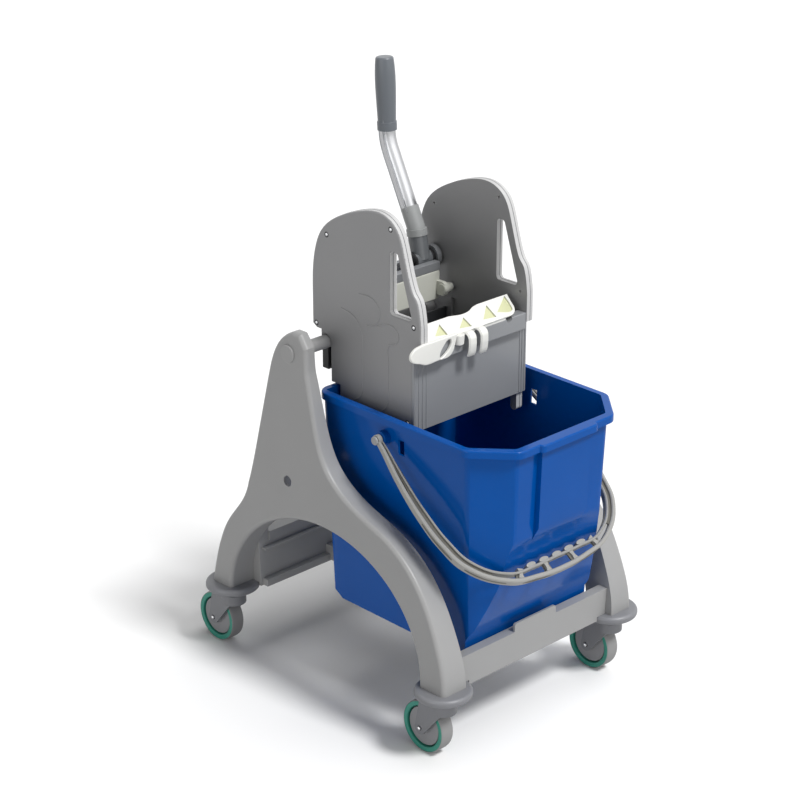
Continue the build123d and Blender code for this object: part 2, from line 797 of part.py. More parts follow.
with BuildPart() as bucket:
    # Rim flange, a skirt turned down around the mouth.
    with BuildSketch(Plane.XY.offset(rim_z - rim_depth)):
        add(rim_outline(rim_width))
    extrude(amount=rim_depth)
    fillet(faces().sort_by(Axis.Z)[-1].edges(), radius=rim_skin)
    with BuildSketch(Plane.XY.offset(rim_z - rim_depth)):
        add(rim_outline(rim_width - rim_skin))
    extrude(amount=rim_depth - rim_skin, mode=Mode.SUBTRACT)
    add(bucket_body(0))
    split(bisect_by=Plane.XY.offset(rim_z), keep=Keep.BOTTOM)
    # Middle panel of the front wall, fading out at the undercut.
    with BuildSketch(Plane.YZ):
        Polygon(
            (-bucket_front_y - panel_proud, rim_z),
            *[(behind - bucket_front_y - panel_proud, rim_z - below) for behind, below in panel_fall],
            (panel_fall[1][0] - bucket_front_y - panel_proud, rim_z),
            align=None,
        )
    extrude(amount=panel_half, both=True)
    # Bosses that carry the bail's pins.
    for side in (-1, 1):
        with BuildSketch(Plane.YZ.offset(side * (bucket_half - 2 * bucket_wall))):
            with Locations((bail_pivot_y, bail_z)):
                Circle(bail_eye_radius)
        extrude(amount=side * (bail_inner_half - free_gap - bucket_half + 2 * bucket_wall))
    add(bucket_body(bucket_wall), mode=Mode.SUBTRACT)
    # Overflow slot through each side wall.
    with BuildSketch(Plane.YZ):
        with Locations((-overflow_front_y, rim_z - overflow_low)):
            Rectangle(
                overflow_front_y - overflow_rear_y, overflow_tall, align=(Align.MIN, Align.MAX)
            )
    extrude(amount=bucket_half + 2, both=True, mode=Mode.SUBTRACT)
    # Bores for the bail's pins.
    for side in (-1, 1):
        with BuildSketch(Plane.YZ.offset(side * bucket_half)):
            with Locations((bail_pivot_y, bail_z)):
                Circle(bail_pin_radius + fit_gap)
        extrude(amount=side * bucket_half, mode=Mode.SUBTRACT)
save(bucket, "bucket")

bail_eye_outer = bail_inner_half + bail_eye_width
with BuildPart() as bail_pins:
    with BuildSketch(Plane.YZ.offset(bucket_half + fit_gap)):
        with Locations((bail_pivot_y, bail_z)):
            Circle(bail_pin_radius)
    extrude(amount=bail_eye_outer + free_gap - bucket_half)
    with BuildSketch(Plane.YZ.offset(bail_eye_outer + free_gap)):
        with Locations((bail_pivot_y, bail_z)):
            Circle(bail_pin_head_radius)
    extrude(amount=bail_head_depth)
    fillet(faces().sort_by(Axis.X)[-1].edges(), radius=bail_head_depth / 2)
    mirror(about=Plane.YZ)
save(bail_pins, "bail_pins")

# ================================================================ bail
# Drawn in its own plane: X across, Y away from the pivot axis.
bail_tilt = radians(bail_angle)
bail_plane = Plane(
    (0, bail_pivot_y, bail_z), x_dir=(1, 0, 0), z_dir=(0, sin(bail_tilt), -cos(bail_tilt))
)
bail_mid = (bail_bar_inner + bail_bar_outer) / 2
with BuildPart() as bail:
    with BuildSketch(bail_plane.offset(-bail_thickness / 2)):
        with BuildLine():
            Spline(
                (0, bail_bar_outer),
                *[(bail_eye_outer + out, bail_bar_outer - back) for out, back in bail_outer_bow],
                (bail_eye_outer, bail_straight),
                tangents=[(1, 0), (0, -1)],
            )
            Polyline(
                (bail_eye_outer, bail_straight),
                (bail_eye_outer, 0),
                (bail_inner_half, 0),
                (bail_inner_half, bail_straight),
            )
            Spline(
                (bail_inner_half, bail_straight),
                *[(bail_inner_half + out, bail_bar_inner - back) for out, back in bail_inner_bow],
                (0, bail_bar_inner),
                tangents=[(0, 1), (-1, 0)],
            )
            Line((0, bail_bar_inner), (0, bail_bar_outer))
        make_face()
        mirror(about=Plane.YZ)
        # Five windows along the grip.
        with Locations((0, bail_mid)):
            RectangleRounded(*bail_window, bail_window_round, mode=Mode.SUBTRACT)
        for side in (-1, 1):
            for across, back, length, height, turn in bail_windows:
                with Locations(Location((side * across, bail_mid - back), -side * turn)):
                    RectangleRounded(length, height, bail_window_round, mode=Mode.SUBTRACT)
    extrude(amount=bail_thickness)
    for side in (-1, 1):
        with BuildSketch(Plane.YZ.offset(side * bail_inner_half)):
            with Locations((bail_pivot_y, bail_z)):
                Circle(bail_eye_radius)
        extrude(amount=side * bail_eye_width)
        with BuildSketch(Plane.YZ.offset(side * (bail_inner_half - 1))):
            with Locations((bail_pivot_y, bail_z)):
                Circle(bail_pin_radius + run_gap)
        extrude(amount=side * (bail_eye_width + 2), mode=Mode.SUBTRACT)
save(bail, "bail")


# ================================================================ wringer
def from_tube(rearward, up):
    """A place beside the cross tube, in the side view."""
    return (tube_y + rearward, tube_z + up)


panel_low = tube_z - panel_drop
plate_foot_y = panel_skin - panel_front
hook_radius = tube_radius + hook_gap
plate_rear_y = tube_y + plate_rear_reach


def plate_outline(x):
    """Outline of a wringer side plate, with its hand hole, at x."""
    with BuildSketch(Plane.YZ.offset(x)) as outline:
        with BuildLine():
            Line(*[(plate_rear_y, tube_z + up) for up in plate_rear_edge])
            Spline(
                (plate_rear_y, tube_z + plate_rear_edge[1]),
                *[from_tube(rearward, plate_top_rise - below) for rearward, below in plate_crown],
                (-band_front, tube_z + band_high),
                tangents=[(0, 1), (-0.1, -1)],
            )
            Polyline(
                (-band_front, tube_z + band_high),
                (-band_front, tube_z + band_low),
                (plate_foot_y, tube_z + band_low),
                (plate_foot_y, panel_low),
                (plate_tail_reach, panel_low),
                (plate_tail_reach, rim_z + plate_tail_gap),
                (tube_y - hook_radius, rim_z + plate_tail_gap),
                (tube_y - hook_radius, tube_z),
            )
            ThreePointArc(
                (tube_y - hook_radius, tube_z), from_tube(0, hook_radius), (tube_y + hook_radius, tube_z)
            )
            Polyline(
                (tube_y + hook_radius, tube_z),
                from_tube(hook_radius, plate_heel[1]),
                from_tube(hook_radius + plate_heel[0], plate_heel[1]),
                (plate_rear_y, tube_z + plate_rear_edge[0]),
            )
        make_face()
        # Prong at the front lower corner.
        with Locations((plate_foot_y, panel_low)):
            Rectangle(prong_width, prong_length - prong_width / 2, align=(Align.MIN, Align.MAX))
        with Locations((plate_foot_y + prong_width / 2, panel_low - prong_length + prong_width / 2)):
            Circle(prong_width / 2)
        # Hand hole.
        with BuildSketch(mode=Mode.SUBTRACT):
            hole_rear, hole_front = hand_hole
            Polygon(
                from_tube(hole_rear[1], hand_hole_low),
                from_tube(hole_rear[0], plate_top_rise - hand_hole_top_gap),
                from_tube(hole_front[0], plate_top_rise - hand_hole_top_gap),
                from_tube(hole_front[1], hand_hole_low),
                align=None,
            )
            fillet(vertices(), radius=hand_hole_round)
    return outline.sketch


with BuildPart() as side_plate_right:
    extrude(plate_outline(plate_inner), amount=core_thick)
    with BuildSketch(Plane.YZ):
        with Locations((shaft_y, shaft_z)):
            Circle(bush_radius + fit_gap)
        with Locations(*[from_tube(*place) for place in screw_places]):
            Circle(screw_radius + fit_gap)
    extrude(amount=wringer_half, mode=Mode.SUBTRACT)
    # Blind slot in the inner face.
    with BuildSketch(Plane.YZ.offset(plate_inner)):
        with Locations((slot_y, tube_z + (slot_low + slot_high) / 2)):
            Rectangle(2 * slot_half, slot_high - slot_low)
    extrude(amount=slot_depth, mode=Mode.SUBTRACT)
save(side_plate_right, "side_plate_right")

with BuildPart() as side_plate_left:
    mirror(side_plate_right.part, about=Plane.YZ)
save(side_plate_left, "side_plate_left")

with BuildPart() as side_cover_right:
    extrude(plate_outline(plate_seam), amount=cover_thick)
    fillet(faces().sort_by(Axis.X)[-1].edges(), radius=cover_round)
    with BuildSketch(Plane.YZ.offset(plate_seam)):
        with Locations(*[from_tube(*place) for place in screw_places]):
            Circle(screw_radius + fit_gap)
    extrude(amount=cover_thick, mode=Mode.SUBTRACT)
save(side_cover_right, "side_cover_right")

with BuildPart() as side_cover_left:
    mirror(side_cover_right.part, about=Plane.YZ)
save(side_cover_left, "side_cover_left")

with BuildPart() as plate_screws:
    with BuildSketch(Plane.YZ.offset(wringer_half - cover_thick - screw_reach)):
        with Locations(*[from_tube(*place) for place in screw_places]):
            Circle(screw_radius)
    extrude(amount=cover_thick + screw_reach)
    with BuildSketch(Plane.YZ.offset(wringer_half)):
        with Locations(*[from_tube(*place) for place in screw_places]):
            Circle(screw_head_radius)
    extrude(amount=screw_head_depth)
    fillet(faces().group_by(Axis.X)[-1].edges(), radius=screw_head_depth / 2)
    mirror(about=Plane.YZ)
save(plate_screws, "plate_screws")

with BuildPart() as front_panel:
    with BuildSketch(Plane.XZ.offset(-plate_foot_y)):
        with Locations((0, panel_low)):
            Rectangle(
                2 * wringer_half, panel_drop + band_low - free_gap, align=(Align.CENTER, Align.MIN)
            )
        with Locations((0, panel_low)):
            Rectangle(2 * inside_half, panel_drop + lip_high, align=(Align.CENTER, Align.MIN))
    extrude(amount=panel_skin)
    # Proud lip with a small round notch.
    with BuildSketch(Plane.XZ.offset(panel_front)):
        with Locations((0, tube_z + lip_low)):
            Rectangle(2 * inside_half, lip_high - lip_low, align=(Align.CENTER, Align.MIN))
    extrude(amount=lip_proud)
    fillet(faces().sort_by(Axis.Y)[0].edges().filter_by(Axis.X), radius=lip_round)
    with BuildSketch(Plane.XZ.offset(-plate_foot_y)):
        with Locations((lip_notch_x, tube_z + lip_high)):
            Circle(lip_notch_radius)
    extrude(amount=2 * lip_proud, mode=Mode.SUBTRACT)
save(front_panel, "front_panel")

with BuildPart() as sieve_base:
    sieve_length = rear_panel_y - plate_foot_y - 2 * fit_gap
    with BuildSketch(Plane.XY.offset(panel_low + free_gap)):
        with Locations((0, plate_foot_y + fit_gap)):
            Rectangle(2 * inside_half, sieve_length, align=(Align.CENTER, Align.MIN))
        with Locations((0, plate_foot_y + fit_gap + sieve_length / 2)):
            with GridLocations(sieve_pitch, sieve_pitch, sieve_columns, sieve_rows):
                Circle(sieve_hole_radius, mode=Mode.SUBTRACT)
    extrude(amount=sieve_skin)
save(sieve_base, "sieve_base")

with BuildPart() as rear_panel:
    with BuildSketch(Plane.XZ.offset(-rear_panel_y)):
        with Locations((0, panel_low + free_gap)):
            Rectangle(
                2 * inside_half, panel_drop + rear_panel_high, align=(Align.CENTER, Align.MIN)
            )
    extrude(amount=-sieve_skin)
save(rear_panel, "rear_panel")

# Sloping feed plate with a front tab and two hooks for the mop's frame.
with BuildPart() as mop_adapter:
    tab_front = band_front + free_gap + adapter_skin
    with BuildSketch(Plane.YZ):
        Polygon(
            (-adapter_top[0], tube_z + adapter_top[1]),
            (-tab_front, tube_z + adapter_tab_high - adapter_nose_top),
            (-tab_front, tube_z + adapter_tab_high - hook_top_gap),
            (-band_front, tube_z + adapter_tab_high - hook_top_gap),
            (adapter_back_lean - adapter_top[0], tube_z + adapter_top[1] - adapter_skin),
            align=None,
        )
    extrude(amount=inside_half, both=True)
    tab_low = tube_z + adapter_tab_low
    tab_high = tube_z + adapter_tab_high
    with BuildSketch(Plane.XZ.offset(band_front + free_gap)):
        Polygon(
            (adapter_tab_x[0], tab_low + adapter_low_left[1]),
            (adapter_tab_x[0] + adapter_low_left[0], tab_low),
            (adapter_tab_x[1] - adapter_low_right[0], tab_low),
            (adapter_tab_x[1], tab_low + adapter_low_right[1]),
            (adapter_tab_x[1], tab_high - adapter_high_drop),
            (adapter_tab_x[0] + adapter_high_left[0], tab_high),
            (adapter_tab_x[0], tab_high - adapter_high_left[1]),
            align=None,
        )
        fillet(vertices(), radius=adapter_tab_round)
        slot_in, slot_up, slot_length, slot_width, slot_turn = adapter_slot
        with Locations(Location((adapter_tab_x[1] - slot_in, tab_low + slot_up), slot_turn)):
            SlotOverall(slot_length, slot_width, mode=Mode.SUBTRACT)
        for hook_x in hook_xs:
            with Locations((hook_x, tube_z + hook_low)):
                Rectangle(
                    hook_width,
                    tab_high - hook_top_gap - tube_z - hook_low,
                    align=(Align.CENTER, Align.MIN),
                )
    extrude(amount=adapter_skin)
    # Shallow dip in the top edge.
    with BuildSketch(Plane.XZ):
        with Locations((adapter_dip_x, tube_z + adapter_top[1] - adapter_dip_depth + adapter_dip_radius)):
            Circle(adapter_dip_radius)
    extrude(amount=2 * band_front, mode=Mode.SUBTRACT)
save(mop_adapter, "mop_adapter")

with BuildPart() as shaft_bushes:
    with BuildSketch(Plane.YZ.offset(plate_inner)):
        with Locations((shaft_y, shaft_z)):
            Circle(bush_radius)
            Circle(shaft_radius + run_gap, mode=Mode.SUBTRACT)
    extrude(amount=core_thick)
    mirror(about=Plane.YZ)
save(shaft_bushes, "shaft_bushes")

# ================================================================ lever
lever_plane = Plane.YZ.offset(lever_x)


def from_shaft(place):
    """A place in the lever's plane, beside the shaft's axis."""
    return (shaft_y + place[0], shaft_z + place[1])


def step_along(start, end, distance):
    """The place that far from start towards end."""
    run = Vector(*end) - Vector(*start)
    reached = Vector(*start) + run.normalized() * distance
    return (reached.X, reached.Y)


hub_centre = (shaft_y, shaft_z)
lower_knee, upper_knee, lever_end = [from_shaft(place) for place in lever_knees]
neck_end = step_along(hub_centre, lower_knee, neck_length)
tube_start = step_along(hub_centre, lower_knee, neck_length - neck_grip)
sleeve_start = step_along(hub_centre, lower_knee, neck_length + fit_gap)
sleeve_end = step_along(lower_knee, upper_knee, sleeve_length)
grip_start = step_along(lever_end, upper_knee, grip_length)
tube_end = step_along(lever_end, upper_knee, grip_end)


def facing(start, end):
    """The plane across the lever at start, looking towards end."""
    origin = lever_plane.from_local_coords(start)
    return Plane(origin, z_dir=lever_plane.from_local_coords(end) - origin)


def lever_pipe(points, bends, outer, inner):
    """A pipe swept along straight runs joined by arcs, in the lever's plane."""
    with BuildPart() as pipe:
        with BuildLine(lever_plane) as path:
            FilletPolyline(*points, radius=bends)
        with BuildSketch(facing(points[0], points[1])):
            Circle(outer)
            Circle(inner, mode=Mode.SUBTRACT)
        sweep(path=path.line)
    return pipe.part


with BuildPart() as lever_shaft:
    with BuildSketch(Plane.YZ):
        with Locations(hub_centre):
            Circle(shaft_radius)
    extrude(amount=plate_seam - free_gap, both=True)
save(lever_shaft, "lever_shaft")

with BuildPart() as shaft_cams:
    with BuildSketch(Plane.YZ.offset(cam_inner_x)):
        with Locations(hub_centre):
            Circle(cam_radius)
            Circle(shaft_radius + fit_gap, mode=Mode.SUBTRACT)
    extrude(amount=cam_width)
    mirror(about=Plane.YZ)
save(shaft_cams, "shaft_cams")

# Hub on the shaft with a neck that holds the tube.
with BuildPart() as lever_socket:
    with BuildSketch(lever_plane):
        with Locations(hub_centre):
            Circle(lever_hub_radius)
    extrude(amount=lever_hub_half, both=True)
    with BuildSketch(facing(hub_centre, neck_end)):
        Circle(lever_radius + fit_gap + neck_wall)
    extrude(amount=neck_length)
    with BuildSketch(facing(neck_end, hub_centre)):
        Circle(lever_radius + fit_gap)
    extrude(amount=neck_grip, mode=Mode.SUBTRACT)
    with BuildSketch(lever_plane):
        with Locations(hub_centre):
            Circle(shaft_radius + fit_gap)
    extrude(amount=2 * lever_hub_half, both=True, mode=Mode.SUBTRACT)
save(lever_socket, "lever_socket")

with BuildPart() as lever_tube:
    route = [tube_start, lower_knee, upper_knee, tube_end]
    add(lever_pipe(route, lever_bends, lever_radius, lever_radius - lever_wall))
save(lever_tube, "lever_tube")

with BuildPart() as lever_sleeve:
    route = [sleeve_start, lower_knee, sleeve_end]
    sleeve_bore = lever_radius + fit_gap
    add(lever_pipe(route, lever_bends[0], sleeve_bore + sleeve_wall, sleeve_bore))
    # The collar stands a little off the tube, which bends away inside it.
    with BuildSketch(facing(sleeve_start, lower_knee)):
        Circle(sleeve_bore + sleeve_wall + collar_proud)
        Circle(sleeve_bore + sleeve_wall / 2, mode=Mode.SUBTRACT)
    extrude(amount=collar_length)
save(lever_sleeve, "lever_sleeve")

# Barrel-shaped and closed at the top, with a ring at its foot.
with BuildPart() as lever_grip:
    for share, wall in grip_walls:
        with BuildSketch(facing(grip_start, lever_end).offset(share * grip_length)):
            Circle(lever_radius + wall)
    loft()
    fillet(edges().group_by(Axis.Z)[-1], radius=grip_round)
    with BuildSketch(facing(grip_start, lever_end)):
        Circle(lever_radius + grip_ring_proud)
    extrude(amount=grip_ring_length)
    fillet(edges().filter_by(GeomType.CIRCLE).group_by(SortBy.RADIUS)[-1], radius=grip_ring_round)
    with BuildSketch(facing(grip_start, lever_end)):
        Circle(lever_radius + fit_gap)
    extrude(amount=grip_length - grip_end, mode=Mode.SUBTRACT)
save(lever_grip, "lever_grip")

# ================================================================ press
pad_bottom = tube_z + pad_low
pad_top = tube_z + pad_high
pad_rear_y = pad_face_y + pad_depth
ear_z = tube_z + guide_pin_rise
ear_face_y = pad_face_y - ear_reach

with BuildPart() as press_pad:
    with BuildSketch(Plane.XZ.offset(-pad_rear_y)):
        with Locations((0, (pad_bottom + pad_top) / 2)):
            RectangleRounded(2 * pad_half, pad_top - pad_bottom, pad_depth / 2)
    extrude(amount=pad_depth)
    fillet(faces().sort_by(Axis.Y)[0].edges(), radius=2)
    # Ears that hold the guide pins, at both ends.
    for side in (-1, 1):
        with BuildSketch(Plane.YZ.offset(side * pad_half)):
            with Locations((ear_face_y, ear_z)):
                Rectangle(ear_reach + pad_depth / 2, 2 * ear_half_height, align=(Align.MIN, Align.CENTER))
            fillet(vertices().group_by(Axis.X)[0], radius=ear_half_height / 2)
            with Locations((guide_pin_y, ear_z)):
                Circle(guide_pin_radius + fit_gap, mode=Mode.SUBTRACT)
        extrude(amount=-side * ear_thick)
save(press_pad, "press_pad")

with BuildPart() as guide_pins:
    with BuildSketch(Plane.YZ.offset(pad_half - ear_thick)):
        with Locations((guide_pin_y, ear_z)):
            Circle(guide_pin_radius)
    extrude(amount=inside_half - pad_half + ear_thick)
    fillet(faces().sort_by(Axis.X)[-1].edges(), radius=1.5)
    mirror(about=Plane.YZ)
save(guide_pins, "guide_pins")

# Carrier bar over and behind the pad.
with BuildPart() as press_carrier:
    with BuildSketch(Plane.YZ):
        Polygon(
            (pad_rear_y + fit_gap, pad_bottom),
            (pad_rear_y + carrier_skin, pad_bottom),
            (pad_rear_y + carrier_skin, tube_z + carrier_high),
            (pad_face_y, tube_z + carrier_high),
            (pad_face_y, pad_top + fit_gap),
            (pad_rear_y + fit_gap, pad_top + fit_gap),
            align=None,
        )
    extrude(amount=pad_half, both=True)
save(press_carrier, "press_carrier")
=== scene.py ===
import json
import math

import bmesh
import bpy
from mathutils import Matrix, Vector


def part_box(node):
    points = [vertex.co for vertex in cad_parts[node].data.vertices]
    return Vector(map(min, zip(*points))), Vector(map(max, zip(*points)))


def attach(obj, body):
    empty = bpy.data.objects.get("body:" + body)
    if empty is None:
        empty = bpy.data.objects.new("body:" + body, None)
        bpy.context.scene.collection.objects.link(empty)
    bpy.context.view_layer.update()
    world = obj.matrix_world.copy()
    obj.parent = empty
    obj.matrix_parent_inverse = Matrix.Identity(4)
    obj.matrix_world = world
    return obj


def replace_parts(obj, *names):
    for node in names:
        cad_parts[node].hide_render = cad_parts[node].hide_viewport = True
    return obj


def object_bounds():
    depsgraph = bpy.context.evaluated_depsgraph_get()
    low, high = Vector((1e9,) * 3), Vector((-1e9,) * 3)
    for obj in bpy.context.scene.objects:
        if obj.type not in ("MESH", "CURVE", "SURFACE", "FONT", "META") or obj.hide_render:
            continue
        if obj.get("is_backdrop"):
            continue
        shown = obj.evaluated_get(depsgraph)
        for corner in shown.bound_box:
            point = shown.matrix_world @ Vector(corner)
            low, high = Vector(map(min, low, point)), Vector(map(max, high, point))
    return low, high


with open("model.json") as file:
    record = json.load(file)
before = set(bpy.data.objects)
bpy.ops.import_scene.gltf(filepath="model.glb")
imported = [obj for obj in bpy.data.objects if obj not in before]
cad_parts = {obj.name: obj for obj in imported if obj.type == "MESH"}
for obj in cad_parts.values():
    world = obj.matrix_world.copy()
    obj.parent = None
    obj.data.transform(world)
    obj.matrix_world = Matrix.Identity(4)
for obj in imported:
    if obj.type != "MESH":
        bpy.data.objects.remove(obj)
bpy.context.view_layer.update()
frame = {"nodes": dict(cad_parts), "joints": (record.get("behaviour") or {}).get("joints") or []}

# ---------------------------------------------------------------------------
# Camera: a long lens a little over three metres off, above the trolley's left front
# corner and looking down at it, so that its upright edges stay nearly parallel.
# ---------------------------------------------------------------------------
camera = bpy.data.objects.new("camera", bpy.data.cameras.new("camera"))
bpy.context.scene.collection.objects.link(camera)
camera_aim = Vector((0.6379, 0.6659, -0.3869))
camera.data.lens = 102.1
camera.data.sensor_width = 36.0
camera.data.clip_end = 60.0
camera.location = (-2.1553, -2.2078, 1.7251)
camera.rotation_mode = "QUATERNION"
camera.rotation_quaternion = camera_aim.to_track_quat("-Z", "Y")
bpy.context.scene.camera = camera
bpy.context.scene.view_settings.view_transform = "Standard"


# ---------------------------------------------------------------------------
# Studio: a pale painted floor that runs out of sight, a white room round it, a small
# key lamp high in front, and three broad ones on the right, in front and on the left.
# ---------------------------------------------------------------------------
def paint(code):
    """The linear colour of an sRGB hex code such as 8A8A8A."""
    parts = [int(code[i:i + 2], 16) / 255 for i in (0, 2, 4)]
    return (*[p / 12.92 if p <= 0.04045 else ((p + 0.055) / 1.055) ** 2.4 for p in parts], 1.0)


def add(tree, kind, settings=None, **inputs):
    """Adds one node: settings are its attributes, and inputs its sockets, by name or as i and a number.

    Each input gets a value or another node's output."""
    node = tree.nodes.new(kind)
    for name, value in (settings or {}).items():
        setattr(node, name, value)
    for name, value in inputs.items():
        numbered = name[0] == "i" and name[1:].isdigit()
        socket = node.inputs[int(name[1:]) if numbered else name.replace("_", " ")]
        if isinstance(value, bpy.types.NodeSocket):
            tree.links.new(value, socket)
        else:
            socket.default_value = value
    return node


def new_material(name):
    """An empty node material, its node tree and its output node."""
    material = bpy.data.materials.new(name)
    material.use_nodes = True
    material.node_tree.nodes.clear()
    return material, material.node_tree, material.node_tree.nodes.new("ShaderNodeOutputMaterial")


floor_span = 30.0
floor_shape = bmesh.new()
bmesh.ops.create_grid(floor_shape, x_segments=1, y_segments=1, size=floor_span / 2)
floor = bpy.data.objects.new("floor", bpy.data.meshes.new("floor"))
floor_shape.to_mesh(floor.data)
floor_shape.free()
bpy.context.scene.collection.objects.link(floor)
floor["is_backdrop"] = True

# Matt white paint with no gloss. Seen directly it is a little brighter, so that it runs into the white
# room with no horizon, and it still takes the trolley's shadow.
floor_paint, tree, out = new_material("matt_white_floor_paint")
rays = add(tree, "ShaderNodeLightPath")
lit = add(tree, "ShaderNodeBsdfDiffuse", Color=paint("DADADA"))
seen = add(tree, "ShaderNodeBsdfDiffuse", Color=(0.92, 0.92, 0.92, 1.0))
both = add(tree, "ShaderNodeMixShader", i0=rays.outputs["Is Camera Ray"], i1=lit.outputs[0], i2=seen.outputs[0])
tree.links.new(both.outputs[0], out.inputs["Surface"])
floor.data.materials.append(floor_paint)

# The room looks white, also in gloss and through clear parts, but lights the trolley only weakly.
room = bpy.data.worlds.new("white_room")
bpy.context.scene.world = room
room.use_nodes = True
tree = room.node_tree
tree.nodes.clear()
rays = add(tree, "ShaderNodeLightPath")
seen_or_glossy = add(tree, "ShaderNodeMath", {"operation": "MAXIMUM"},
                     i0=rays.outputs["Is Camera Ray"], i1=rays.outputs["Is Glossy Ray"])
seen_at_all = add(tree, "ShaderNodeMath", {"operation": "MAXIMUM"},
                  i0=seen_or_glossy.outputs[0], i1=rays.outputs["Is Transmission Ray"])
fill = add(tree, "ShaderNodeBackground", Color=(1.0, 1.0, 1.0, 1.0), Strength=0.18)
white = add(tree, "ShaderNodeBackground", Color=(1.0, 1.0, 1.0, 1.0), Strength=1.0)
mixed = add(tree, "ShaderNodeMixShader", i0=seen_at_all.outputs[0], i1=fill.outputs[0], i2=white.outputs[0])
add(tree, "ShaderNodeOutputWorld", Surface=mixed.outputs[0])

# Breadth is the angle in degrees that a lamp fills: the broader it is, the softer are its shadows.
for name, strength, breadth, towards in (
    ("key_lamp", 2.3, 12.0, (-0.10, 0.68, -1.0)),
    ("right_lamp", 1.1, 50.0, (-0.32, 0.10, -1.0)),
    ("front_lamp", 0.80, 70.0, (-0.25, 1.0, -0.30)),
    ("left_lamp", 0.95, 50.0, (1.0, 0.05, -0.10)),
):
    lamp = bpy.data.objects.new(name, bpy.data.lights.new(name, "SUN"))
    lamp.data.energy = strength
    lamp.data.angle = math.radians(breadth)
    lamp.rotation_mode = "QUATERNION"
    lamp.rotation_quaternion = Vector(towards).to_track_quat("-Z", "Y")
    bpy.context.scene.collection.objects.link(lamp)

# ---------------------------------------------------------------------------
# Side frames: two A-shaped injection mouldings in mid grey polypropylene, open on the
# inner face. They stand on the castors and carry the crossbars and the cross tube.
# ---------------------------------------------------------------------------
MM = 0.001
SAME_POINT = 0.002 * MM


def moulded(name, colour, roughness, grain, relief, shade=0.93, specular=0.5):
    """Moulded plastic: a colour with faint clouds, under a fine grain in its gloss and its surface.

    grain is the grain's width and relief its height, in mm. shade is what the clouds leave of the colour."""
    cloud_width, gloss_spread = 71.4, 0.05
    material, tree, out = new_material(name)
    place = add(tree, "ShaderNodeTexCoord").outputs["Object"]
    cloud = add(tree, "ShaderNodeTexNoise", Vector=place, Scale=1.0 / (cloud_width * MM), Detail=3.0)
    # The real grain is too fine to show, so it is drawn a few times as wide.
    skin = add(tree, "ShaderNodeTexNoise", Vector=place, Scale=1.0 / (grain * MM), Detail=2.0)
    full = paint(colour)
    dull = (*[c * shade for c in full[:3]], 1.0)
    tint = add(tree, "ShaderNodeMix", {"data_type": "RGBA"}, i0=cloud.outputs["Fac"], i6=dull, i7=full)
    sheen = add(tree, "ShaderNodeMapRange", Value=skin.outputs["Fac"],
                To_Min=roughness - gloss_spread, To_Max=roughness + gloss_spread)
    bump = add(tree, "ShaderNodeBump", Height=skin.outputs["Fac"], Strength=1.0, Distance=relief * MM)
    shader = add(tree, "ShaderNodeBsdfPrincipled", Base_Color=tint.outputs[2], IOR=1.49,
                 Specular_IOR_Level=specular, Roughness=sheen.outputs["Result"], Normal=bump.outputs["Normal"])
    tree.links.new(shader.outputs[0], out.inputs["Surface"])
    return material


def finished(shape, name, body, material, turn=30):
    """The object of a finished bmesh, riding on its body, smooth up to turn degrees and sharp past that."""
    bmesh.ops.triangulate(shape, faces=[f for f in shape.faces if len(f.verts) > 4])
    # A matrix that mirrors a shape also turns it inside out.
    if shape.calc_volume(signed=True) < 0:
        bmesh.ops.reverse_faces(shape, faces=shape.faces)
    piece = bpy.data.objects.new(name, bpy.data.meshes.new(name))
    shape.to_mesh(piece.data)
    shape.free()
    bpy.context.scene.collection.objects.link(piece)
    piece.data.polygons.foreach_set("use_smooth", [True] * len(piece.data.polygons))
    piece.data.set_sharp_from_angle(angle=math.radians(turn))
    piece.data.materials.append(material)
    flat = piece.modifiers.new("flat_faces", "WEIGHTED_NORMAL")
    flat.keep_sharp = True
    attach(piece, body)
    return piece


def merged_copy(node):
    """A bmesh of a CAD node, with its loose triangles joined."""
    shape = bmesh.new()
    shape.from_mesh(frame["nodes"][node].data)
    bmesh.ops.remove_doubles(shape, verts=shape.verts, dist=SAME_POINT)
    return shape


def rounded(shape, edges, radius, segments=2):
    """Rounds some of a bmesh's edges by radius mm."""
    bmesh.ops.bevel(shape, geom=edges, offset=radius * MM, offset_type="OFFSET", affect="EDGES",
                    segments=segments, profile=0.5, material=-1, clamp_overlap=True)


def dressed(node, body, material, edge, turn=30, front=None, slim=None, pale_edges=None):
    """A copy of a CAD node with its sharp edges rounded by edge mm, shown in the node's place.

    front is a Y that nothing on it may stand forward of. slim is a scale and a point: it is scaled about
    the line along X through that point. The last argument is the material of the edges of a sheet that lies
    across X: paler, for the saw and as painted highlight."""
    shape = merged_copy(node)
    if front is not None:
        for corner in shape.verts:
            corner.co.y = max(corner.co.y, front)
        bmesh.ops.dissolve_degenerate(shape, edges=shape.edges, dist=SAME_POINT)
    if slim is not None:
        scale, point = slim
        about = Matrix.Translation(point)
        shape.transform(about @ Matrix.Diagonal((1, scale, scale, 1)) @ about.inverted())
    # Coplanar triangles become one face, so that only real edges are left to round.
    bmesh.ops.dissolve_limit(shape, angle_limit=math.radians(0.3), verts=shape.verts, edges=shape.edges)
    sharp = [e for e in shape.edges if e.is_manifold and e.calc_face_angle(0) > math.radians(turn)]
    rounded(shape, sharp, radius=edge)
    piece = finished(shape, node + "_moulding", body, material, turn)
    if pale_edges is not None:
        piece.data.materials.append(pale_edges)
        # Faces that don't face along X, the sheet's edges, take the pale material with its painted highlight.
        for face in piece.data.polygons:
            face.material_index = int(abs(face.normal.x) < 0.5)
    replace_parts(piece, node)
    return piece


# Polypropylene from a spark-eroded mould: an even satin skin that spreads each highlight wide.
frame_plastic = moulded("spark_eroded_grey_polypropylene", "979797", roughness=0.42, grain=1.6, relief=0.02)
for side in ("left", "right"):
    dressed("side_frame_" + side, "frame", frame_plastic, edge=0.8)

